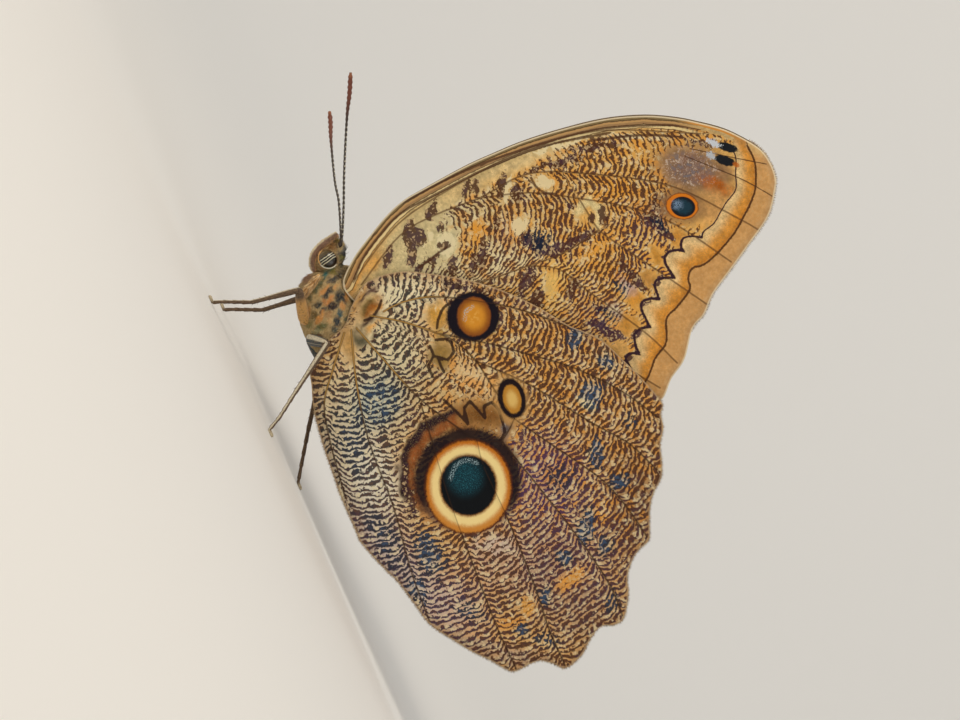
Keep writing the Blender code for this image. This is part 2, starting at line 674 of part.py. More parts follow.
def build():
    clear_scene()
    shaft = material("antenna_cuticle", "#9a5230", 0.5)
    limb = material("leg_cuticle", "#5e4f43", 0.55)
    palp_finish = material("palp_scales", "#8c5a34", 0.75)
    fore_finish = material("wing_scales", "#a98d63", 0.7)
    hind_finish = material("hindwing_scales", "#8f7a5c", 0.7)
    add_body(
        material("thorax_fur", "#8a7350", 0.85), material("head_fur", "#7d6344", 0.85),
        material("abdomen_fur", "#b59a6c", 0.85), material("eye_lens", "#3b2416", 0.12, coat=0.6),
    )
    for name, joints in LEG_JOINTS.items():
        side = -1 if name.endswith("left") else 1
        obj = tube(name, leg_path(*joints, side), limb, sides=8, floor=0.0)
        combine(obj, thorax_cuts(name), "DIFFERENCE")
    for side, word in SIDES.items():
        add_palp(side, word, palp_finish)
        add_antenna(side, word, shaft)
        foreleg = tube("foreleg_" + word, foreleg_path(side), limb, sides=8)
        combine(foreleg, thorax_cuts("foreleg"), "DIFFERENCE")
        wing("forewing_" + word, FOREWING_OUTLINE, FOREWING_VEINS, [], forewing_lateral, side,
             FAR_FOREWING_SWING if side > 0 else 0.0, FOREWING_STALK, fore_finish)
        wing("hindwing_" + word, HINDWING_OUTLINE, HINDWING_VEINS, abdomen_rows(), hindwing_lateral,
             side, 0.0, HINDWING_STALK, hind_finish)


build()
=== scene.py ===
import math

import bpy
import numpy as np
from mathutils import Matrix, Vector, kdtree
from mathutils.geometry import delaunay_2d_cdt


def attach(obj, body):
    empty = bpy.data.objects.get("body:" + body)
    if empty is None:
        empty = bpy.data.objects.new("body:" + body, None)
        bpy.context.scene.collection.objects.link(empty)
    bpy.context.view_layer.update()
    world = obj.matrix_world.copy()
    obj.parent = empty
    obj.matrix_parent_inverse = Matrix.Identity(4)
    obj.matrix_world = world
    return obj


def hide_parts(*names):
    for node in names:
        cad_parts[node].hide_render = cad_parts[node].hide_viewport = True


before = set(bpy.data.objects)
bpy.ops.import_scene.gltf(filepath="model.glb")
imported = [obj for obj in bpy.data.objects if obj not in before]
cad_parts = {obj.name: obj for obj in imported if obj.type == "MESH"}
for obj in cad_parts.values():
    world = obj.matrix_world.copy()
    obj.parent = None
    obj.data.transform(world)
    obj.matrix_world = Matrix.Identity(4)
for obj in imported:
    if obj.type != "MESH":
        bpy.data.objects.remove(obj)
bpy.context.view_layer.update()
rng = np.random.default_rng(11)

layout = {
    "forewingLength": 72.3,  # mm from the root to the apex
    "forewingOnChart": 434.0,  # the same length in units of the wing chart
    "foot": (212.6, 297.0),  # the middle left foot's tip on the chart
    "roll": math.radians(66.27),  # how far the chart is turned to stand the butterfly up
    "middleX": 28.05,  # mm from that foot to the middle of the butterfly
}
chartUnit = layout["forewingLength"] / layout["forewingOnChart"]


def linear(code):  # sRGB hex to linear colour
    shares = [int(code[i : i + 2], 16) / 255 for i in (1, 3, 5)]
    return [c / 12.92 if c <= 0.04045 else ((c + 0.055) / 1.055) ** 2.4 for c in shares] + [1.0]


def fromChart(points):  # chart places to x and z in mm
    right, down = ((np.atleast_2d(np.array(points, float)) - layout["foot"]) * chartUnit).T
    cos, sin = math.cos(layout["roll"]), math.sin(layout["roll"])
    return np.column_stack((right * cos + down * sin, right * sin - down * cos))


def toChart(flat):  # x and z in mm to chart places
    cos, sin = math.cos(layout["roll"]), math.sin(layout["roll"])
    right, down = flat[:, 0] * cos + flat[:, 1] * sin, flat[:, 0] * sin - flat[:, 1] * cos
    return np.column_stack((right, down)) / chartUnit + layout["foot"]


def smooth(value, low, high):
    t = np.clip((value - low) / (high - low), 0.0, 1.0)
    return t * t * (3 - 2 * t)


def curveThrough(points, step, closed=False):  # a smooth curve, with a point about every step
    knots = [np.array(p, float) for p in points]
    count, found = len(knots), []
    for i in range(count if closed else count - 1):
        if closed:
            a, b, c, d = (knots[(i + k) % count] for k in (-1, 0, 1, 2))
        else:
            b, c = knots[i], knots[i + 1]
            a = knots[i - 1] if i else b + b - c
            d = knots[i + 2] if i + 2 < count else c + c - b
        parts = max(1, round(np.linalg.norm((c - b)[:3]) / step))
        for t in np.arange(parts) / parts:
            found.append(0.5 * (2 * b + (c - a) * t + (2 * a - 5 * b + 4 * c - d) * t**2
                                + (3 * b - a - 3 * c + d) * t**3))
    if not closed:
        found.append(knots[-1])
    return np.array(found)


def nearLine(points, line):  # distance, share along, and side (+ on the right going along it)
    best, share, side = np.full(len(points), np.inf), np.zeros(len(points)), np.ones(len(points))
    lengths = np.linalg.norm(np.diff(line, axis=0), axis=1)
    starts = np.concatenate(([0.0], np.cumsum(lengths)))
    for a, b, start, length in zip(line[:-1], line[1:], starts, lengths):
        if length == 0.0:  # two lines that join share a point
            continue
        along, off = b - a, points - a
        t = np.clip(off @ along / length**2, 0.0, 1.0)
        away = np.linalg.norm(off - t[:, None] * along, axis=1)
        closer = away < best
        best = np.where(closer, away, best)
        share = np.where(closer, (start + t * length) / starts[-1], share)
        cross = off[:, 0] * along[1] - off[:, 1] * along[0]
        side = np.where(closer, np.sign(cross), side)
    return best, share, side


def inside(points, outline):
    x, z = points[:, 0], points[:, 1]
    found = np.zeros(len(points), bool)
    for a, b in zip(outline, np.roll(outline, -1, axis=0)):
        if a[1] != b[1]:
            found ^= ((a[1] > z) != (b[1] > z)) & (x < a[0] + (z - a[1]) * (b[0] - a[0]) / (b[1] - a[1]))
    return found


def wander(spots, size, seed):  # smooth unevenness between about -1 and 1, patches of that size
    draw = np.random.default_rng(seed)
    total = np.zeros(len(spots))
    for _ in range(7):
        turn, phase, pitch = draw.uniform(0, math.tau), draw.uniform(0, math.tau), draw.uniform(0.6, 1.6)
        across = spots[:, 0] * math.cos(turn) + spots[:, 1] * math.sin(turn)
        total += np.sin(across * pitch * math.pi / size + phase)
    return total / 3.2


def addMesh(name, points, faces, finishes, attributes=None, faceFinish=None):
    mesh = bpy.data.meshes.new(name)
    places = np.asarray(points, float) * 0.001
    places[:, 0] -= layout["middleX"] * 0.001
    mesh.from_pydata(places.tolist(), [], [tuple(map(int, f)) for f in faces])
    for finish in finishes:
        mesh.materials.append(finish)
    if faceFinish is not None:
        mesh.polygons.foreach_set("material_index", np.asarray(faceFinish, np.int32))
    for key, values in (attributes or {}).items():
        colour = values.shape[1] == 4
        made = mesh.attributes.new(key, "FLOAT_COLOR" if colour else "FLOAT_VECTOR", "POINT")
        made.data.foreach_set("color" if colour else "vector", np.asarray(values, np.float32).ravel())
    mesh.shade_smooth()
    obj = bpy.data.objects.new(name, mesh)
    bpy.context.scene.collection.objects.link(obj)
    return obj


def settle(obj, nodes):  # ties a piece to the frame
    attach(obj, "root")
    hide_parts(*nodes)
    return obj


def newFinish(name):
    made = bpy.data.materials.new(name)
    made.use_nodes = True
    made.node_tree.nodes.clear()
    return made, made.node_tree


# Adds a node. Links are keyed by a socket's name or number, and hold a node, a socket or a value.
def addNode(tree, kind, settings=None, links=None):
    node = tree.nodes.new("ShaderNode" + kind)
    for key, value in (settings or {}).items():
        setattr(node, key, value)
    for key, value in (links or {}).items():
        socket = node.inputs[key] if isinstance(key, int) else next(
            s for s in node.inputs if s.name == key and s.enabled)
        if isinstance(value, bpy.types.Node):
            value = next(s for s in value.outputs if s.enabled)
        if isinstance(value, bpy.types.NodeSocket):
            tree.links.new(value, socket)
        elif isinstance(value, str):
            socket.default_value = linear(value)
        else:
            socket.default_value = value
    return node


# Lays colours over each other. Each has a strength and edges: a value, where it starts, where it is full.
def layCoats(tree, ground, coats):
    for colour, strength, *edges in coats:
        for value, start, full in edges:
            strength = addNode(tree, "MapRange", {"interpolation_type": "SMOOTHSTEP"},
                               {"Value": value, "From Min": start, "From Max": full, "To Max": strength})
        ground = addNode(tree, "Mix", {"data_type": "RGBA"},
                         {"Factor": strength, "A": ground, "B": colour})
    return ground


def axesOf(tree, name):  # the three parts of a stored vector
    stored = addNode(tree, "Attribute", {"attribute_name": name})
    parts = addNode(tree, "SeparateXYZ", {}, {0: stored.outputs["Vector"]})
    return parts.outputs


def sumOf(tree, terms):  # adds each value times its weight
    total = None
    for value, weight in terms:
        total = addNode(tree, "Math", {"operation": "MULTIPLY_ADD"},
                        {0: value, 1: weight, 2: 0.0 if total is None else total})
    return total


wing = {  # mm
    "thickness": 0.5,  # as in the solids
    "rimThickness": 0.16,
    "rimWidth": 1.4,  # how far in from the margin the sheet thins
    "grid": 0.42,  # spacing of the sheet's points
    "gridRows": 0.866,  # times that between its rows, for even triangles
    "steps": {"outline": 0.45, "veins": 0.4, "lines": 0.35},  # between points along these
    "veinRows": (0.0, 0.2, -0.2, 0.42, -0.42),  # rows of points along a vein and beside it
    "apart": (0.14, 0.26),  # how far points of the rows and of the grid keep from others
    "marginClear": 0.2,  # and from the margin
    "cell": 0.16,  # where rows cross, one point in each
    "fieldSteps": (1.6, 1.2),  # along veins and outline, for the distances to them
    "tiles": 5.0,  # scales in a mm, as drawn
    "wander": ((13, 2.0), (5, 1.2)),  # on the chart: size of the bends in a patch's edge, and their reach
    "rootRipples": (3.2, 14.0),  # ripples lost near their centre, and within how far
    "veinRipples": (0.9, 0.9),  # how much they bend at a vein, and within how far
    "veinHeight": 0.2,
    "veinHalfWidth": 0.42,
    "farSwing": math.radians(0.35),  # the far forewing stands a little further up
    "fringeLength": 0.42,
    "fringeHalfWidth": 0.05,
    "fringeRoot": 0.12,  # how deep a hair starts inside the margin
    "fringeSpacing": 0.1,
    "fringeColours": ("#b89d78", "#6b4e38", "#e2d2b0"),  # most hairs, brown patches, pale hairs
    "uppersides": {  # brown, the bloom over it and the margin
        "forewing": ("#5b4430", "#5c6478", "#6b5a44"),
        "hindwing": ("#4a3a30", "#3d5f96", "#20191a"),
    },
}

# Strokes are soft ovals on the chart: across, down, two half sizes, a tilt in degrees and a strength, then
# a colour, or a level for the cover. Outlines, veins and lines are rows of chart places.
forewing = {
    "outline": [
        (343.5, 282.6), (354, 258.7), (368, 239), (386, 216.6), (403, 201), (424, 188.6),
        (466, 166), (494, 153.5), (522, 142), (560, 130), (603.8, 119.5), (643.6, 116),
        (675.5, 118.3), (699.4, 123), (723.4, 129.5), (742.5, 138.3), (760, 149.4),
        (769.6, 162), (775.2, 176.5), (775.2, 189), (768, 216.4), (747.3, 246.7),
        (731.3, 269), (713, 294), (704, 314.6), (692.3, 329), (684.3, 359.3), (671.5, 378.4),
        (661, 400), (640, 402), (560, 388), (470, 356), (400, 328), (366, 310), (350, 297),
    ],
    "veins": [
        [(354, 282.6), (382, 243), (410, 214.5), (466, 180), (522, 152), (600, 131), (700, 134)],
        [(362, 285), (400, 236), (438, 214), (480, 198), (528, 174), (590, 174), (670, 186),
         (737, 218), (763, 233)],
        [(480, 198), (530, 193), (578.6, 198.6), (629.6, 207.6), (675.5, 225), (731, 262)],
        [(578.6, 198.6), (587, 212), (599, 230.5), (622, 247), (655, 269), (709, 306)],
        [(366, 292), (420, 290), (480, 282), (527.6, 266), (563, 253.5), (599, 230.5)],
        [(527.6, 266), (558, 269), (589, 292), (645, 332.6), (677, 363)],
        [(480, 282), (540, 318), (600, 352), (660, 388)],
        [(366, 297), (430, 326), (520, 362), (640, 396)],
    ],
    "rippleCentre": (330, 300),
    "period": 0.98,  # mm from one dark ripple to the next
    "gold": (425, 475),  # golden scales appear between these places across the chart
    "lean": (225.0, 165.0),  # how the ripples slant, by the angle round the centre
    "outerLine": [(747, 146), (753, 158), (755.5, 170), (755, 189), (750, 204), (743, 217.8), (734, 233.4),
                  (717.6, 252.9), (704, 264.5), (692.3, 268.4), (688, 278), (689.4, 289.8), (676.7, 307.3),
                  (666.5, 319), (666, 342.4), (655.3, 358), (649.5, 373.5), (641, 390)],
    "innerLine": [  # scallops that meet in sharp notches on the veins
        [(733, 150), (736, 160), (735.5, 174), (735.5, 190), (726, 203), (719.5, 214), (713.7, 223.7),
         (703.5, 232), (702, 238)],
        [(702, 238), (692, 236.8), (684.5, 238), (681.3, 242.5), (681.6, 247.5), (683.8, 252)],
        [(683.8, 252), (676.7, 250.8), (669, 252.5), (665, 258), (666.3, 264.5), (674.8, 278.2)],
        [(674.8, 278.2), (665, 278.6), (657, 280.6), (655, 286), (657, 292), (659.4, 299.6)],
        [(659.4, 299.6), (649.5, 299.4), (642, 302.8), (642.4, 311), (650.5, 327.6)],
        [(650.5, 327.6), (641.7, 328.8), (635, 334.5), (635.6, 344), (639.8, 355)],
        [(639.8, 355), (632, 353.6), (627, 356.2), (626.6, 361), (632, 370), (638, 384)],
    ],
    "hook": [(579.5, 213), (583, 204.5), (590, 201), (597, 205), (600.5, 214), (598, 225)],
    "darkLines": [
        [(354.7, 279.5), (362, 262), (372, 246), (391.3, 222.3), (408, 209), (428, 198.8), (472, 175.4),
         (501.3, 162.2), (530.6, 150.5), (560, 142.4), (610, 133)],
        [(372, 236), (391.3, 210.6), (428, 189.3), (472, 168), (516, 151.9), (567.3, 136.5), (610, 128),
         (668, 125.5), (700, 130)],
        [(590, 141), (640, 135.5), (680, 137)],
        [(531, 178), (536, 187), (545, 193), (556, 194)],
        [(419, 268), (430, 260), (440, 252), (450, 246)],
        [(685, 156.4), (710, 166.5), (736.4, 177.2), (754, 186), (773, 197)],
        [(690, 149), (736, 158.4), (766, 164.3)],
    ],
    "zigzags": [],
    "plainVeins": 0,
    "ground": ("#d6a75c", [
        (430, 250, 90, 60, -35, 1.0, "#cbbc8e"), (372, 262, 16, 9, -58, 1.0, "#cf9c52"),
        (382, 236, 26, 5, -50, 0.8, "#d2b47c"), (447, 245, 10, 14, 0, 1.0, "#d2caa2"),
        (540, 205, 50, 26, -10, 0.5, "#d2ae70"), (500, 262, 50, 18, -16, 0.8, "#dccda0"),
        (520, 160, 80, 9, -22, 0.95, "#d8c08c"), (476, 232, 10, 14, 10, 1.0, "#dc9a38"),
        (470, 252, 8, 16, 12, 0.9, "#d9a24a"), (508, 232, 12, 20, 0, 0.6, "#c98a48"),
        (614, 188, 24, 11, 15, 0.9, "#d99c3e"), (640, 156, 16, 14, 20, 0.9, "#dca650"),
        (556, 284, 20, 32, 10, 1.0, "#dfb667"), (596, 250, 26, 12, -30, 0.9, "#d99f48"),
        (620, 271, 16, 10, -30, 0.9, "#d08d38"), (600, 320, 36, 24, 30, 0.5, "#b98e60"),
        (650, 215, 22, 14, 15, 0.7, "#b9793e"), (690, 170, 40, 26, 15, 1.0, "#7a5e4e"),
        (720, 172, 16, 9, 20, 0.8, "#8f6c4c"), (715, 208, 18, 20, 30, 0.95, "#c4945a"),
        (660, 205, 12, 14, 0, 0.8, "#8a674c"), (716, 185, 19, 7, 28, 1.0, "#b3601c"),
        (676, 238, 10, 8, 40, 1.0, "#c98a38"), (658, 256, 11, 8, 40, 1.0, "#cc8f38"),
        (650, 279, 10, 8, 45, 1.0, "#b58240"), (636, 300, 11, 9, 45, 1.0, "#cc8d34"),
        (627, 325, 11, 11, 50, 1.0, "#cc8f3a"), (614, 347, 13, 8, 40, 1.0, "#c99a58"),
        (660, 226, 10, 5, 45, 0.7, "#a08e94"), (628, 286, 11, 6, 45, 0.8, "#a5949c"),
        (614, 309, 10, 6, 50, 0.9, "#b0a090"),
    ]),
    "ink": ("#4c2f22", [  # colour of the ripples and blotches
        (545, 250, 60, 36, -20, 0.7, "#45262c"), (540, 245, 14, 14, 0, 0.7, "#2a2640"),
        (600, 325, 50, 40, 0, 0.6, "#4a2c34"), (415, 245, 60, 34, -35, 0.9, "#4c3226"),
        (650, 250, 40, 26, 50, 0.9, "#33203a"), (610, 325, 26, 14, 35, 0.9, "#33203a"),
    ]),
    "cover": (0.53, [  # how much of the ground the ripples cover
        (385, 258, 44, 30, -50, 1.0, 0.0), (420, 240, 30, 22, -30, 1.0, 0.1),
        (447, 247, 13, 18, 15, 1.0, 0.08), (500, 172, 70, 10, -25, 1.0, 0.12),
        (438, 205, 40, 9, -30, 1.0, 0.1), (476, 232, 9, 14, 15, 0.8, 0.26),
        (507, 190, 6, 18, 10, 0.9, 0.12), (519, 226, 9, 11, 0, 0.9, 0.05),
        (545, 182, 11, 9, 20, 1.0, 0.0), (686, 168, 30, 21, 10, 1.0, 0.0),
        (715, 195, 26, 36, 25, 1.0, 0.0), (722, 154, 24, 12, 20, 1.0, 0.0),
        (683, 207, 19, 16, 0, 1.0, 0.0), (677, 238, 11, 9, 40, 1.0, 0.0),
        (658, 256, 12, 9, 40, 1.0, 0.0), (651, 280, 11, 9, 45, 1.0, 0.0),
        (637, 300, 13, 10, 45, 1.0, 0.0), (628, 326, 13, 12, 50, 1.0, 0.0),
        (616, 348, 14, 9, 40, 1.0, 0.0), (551, 284, 9, 22, 8, 0.9, 0.22),
        (643, 152, 16, 12, 10, 0.7, 0.3), (598, 248, 22, 8, -35, 0.8, 0.28),
        (590, 212, 12, 12, 0, 0.9, 0.0),
    ]),
    "darkSpots": [  # long blotches of purple-brown scales
        (388.5, 257, 4.6, 14, 8, 0.95), (411, 236, 8, 17, 4, 1.0), (419, 237, 7, 9, 0, 0.9),
        (412, 258, 4.5, 9, 12, 0.95), (433, 209, 4, 10, 22, 0.95), (430, 217, 3.5, 6, 0, 0.9),
        (420, 268, 7, 4.5, -38, 0.95), (434, 258, 9, 3.5, -38, 0.8), (441, 228, 5, 7, 0, 0.62),
        (443, 245, 6, 3, -20, 0.8), (453, 265, 3.2, 12, 12, 0.95), (466, 190, 5, 10, 10, 0.7),
        (476, 186, 4, 10, 5, 0.7), (502, 186, 4, 13, 8, 0.8), (474, 262, 4, 15, 14, 0.8),
        (484, 255, 5, 17, 14, 0.85), (497, 226, 5, 12, 10, 0.75), (517, 193, 6, 12, 10, 0.7),
        (539, 245, 10, 9, 0, 0.85), (528, 240, 8, 10, 0, 0.7), (575, 241, 26, 5.5, -24, 1.0),
        (552, 251, 16, 6, -24, 0.9), (603, 216, 3.6, 13, -5, 0.9), (590, 217, 3.4, 6.5, 8, 1.0),
        (571, 205, 8, 5, 0, 0.65), (540, 168, 22, 4, -22, 0.6), (597, 147, 34, 4, -8, 0.75),
        (566, 162, 18, 5, -20, 0.7), (527, 282, 7, 18, 30, 0.95), (536, 300, 7, 14, 20, 0.9),
        (572, 290, 6, 18, 8, 0.7), (664, 231, 13, 5, 40, 1.0), (671, 238, 7, 3, 42, 0.9),
        (637, 280, 12, 5, 42, 1.0), (644, 287, 6, 2.6, 45, 0.9), (604, 329, 19, 7, 30, 1.0),
        (617, 335, 8, 4, 40, 0.9), (650, 220, 12, 6, 35, 0.75), (624, 268, 12, 5, 40, 0.6),
        (600, 308, 16, 6, 34, 0.6), (700, 144, 16, 4, 12, 0.6), (655, 205, 7, 12, 15, 0.6),
        (666, 254.5, 6.5, 2.2, -50, 1.0), (657, 281.5, 7, 2.2, -40, 1.0), (644, 304, 7, 2.4, -48, 1.0),
        (637, 333.5, 8, 2.8, -50, 1.0), (628.5, 357, 8, 3.2, -32, 1.0),
    ],
    "paleSpots": [
        (544, 284, 3, 15, 8, 0.5), (447, 245, 8, 12, 0, 0.8), (507, 190, 4.2, 16, 8, 0.95),
        (519, 226, 7.5, 10, 0, 0.95), (545, 182, 9.5, 7, 20, 1.0), (474, 218, 9, 4, -12, 0.8),
        (462, 208, 6, 4, 0, 0.6), (560, 146, 34, 3, -16, 0.8), (634, 137.5, 34, 2.4, 2, 0.9),
        (500, 256, 5, 13, 10, 0.8), (430, 236, 5, 6, 0, 0.6), (422, 246, 3, 4, 0, 0.7),
    ],
    "blueSpots": [
        (540, 240, 14, 14, 0, 0.5), (660, 224, 12, 6, 40, 0.5), (684, 166, 16, 10, 10, 0.35),
        (622, 290, 12, 7, 40, 0.5), (608, 316, 14, 6, 40, 0.45),
    ],
    "eyes": {  # centre, half sizes and tilt of each ring on the chart
        "first": [(682.8, 207, 12, 9.8, 10), (682, 206.4, 15.4, 12.4, 8), (677, 205, 6.5, 6, 0)],
        "second": [(727, 147.6, 10.5, 4.0, 18), (724.5, 160.8, 10.5, 4.4, 20), (690, 168, 33, 22, 12)],
        "third": [(713, 143.2, 7.5, 3.4, 22), (711, 155.6, 4.6, 3.4, 20), (736, 165, 4, 2.4, 25)],
    },
    "glints": [],
    "frontStreaks": [  # along the front edge: from and to in mm, and a colour
        (-1.0, 0.5, "#7a6846"), (0.44, 0.64, "#43301f"), (0.64, 0.95, "#b58d5a"), (0.95, 1.3, "#94734e"),
        (1.3, 1.46, "#432a1c"), (1.46, 1.9, "#dcc792"), (1.9, 2.04, "#4c3222"),
    ],
    "scallops": ("#dfc08a", "#d2913c", "#bd741e"),  # between the inner and the outer line, from inside out
    "border": ("#c6955a", "#a98a66"),  # beyond the outer line, and at the margin
    "strip": ("#cbb27c", "#d9a052"),  # the front edge, and its part by the root
}

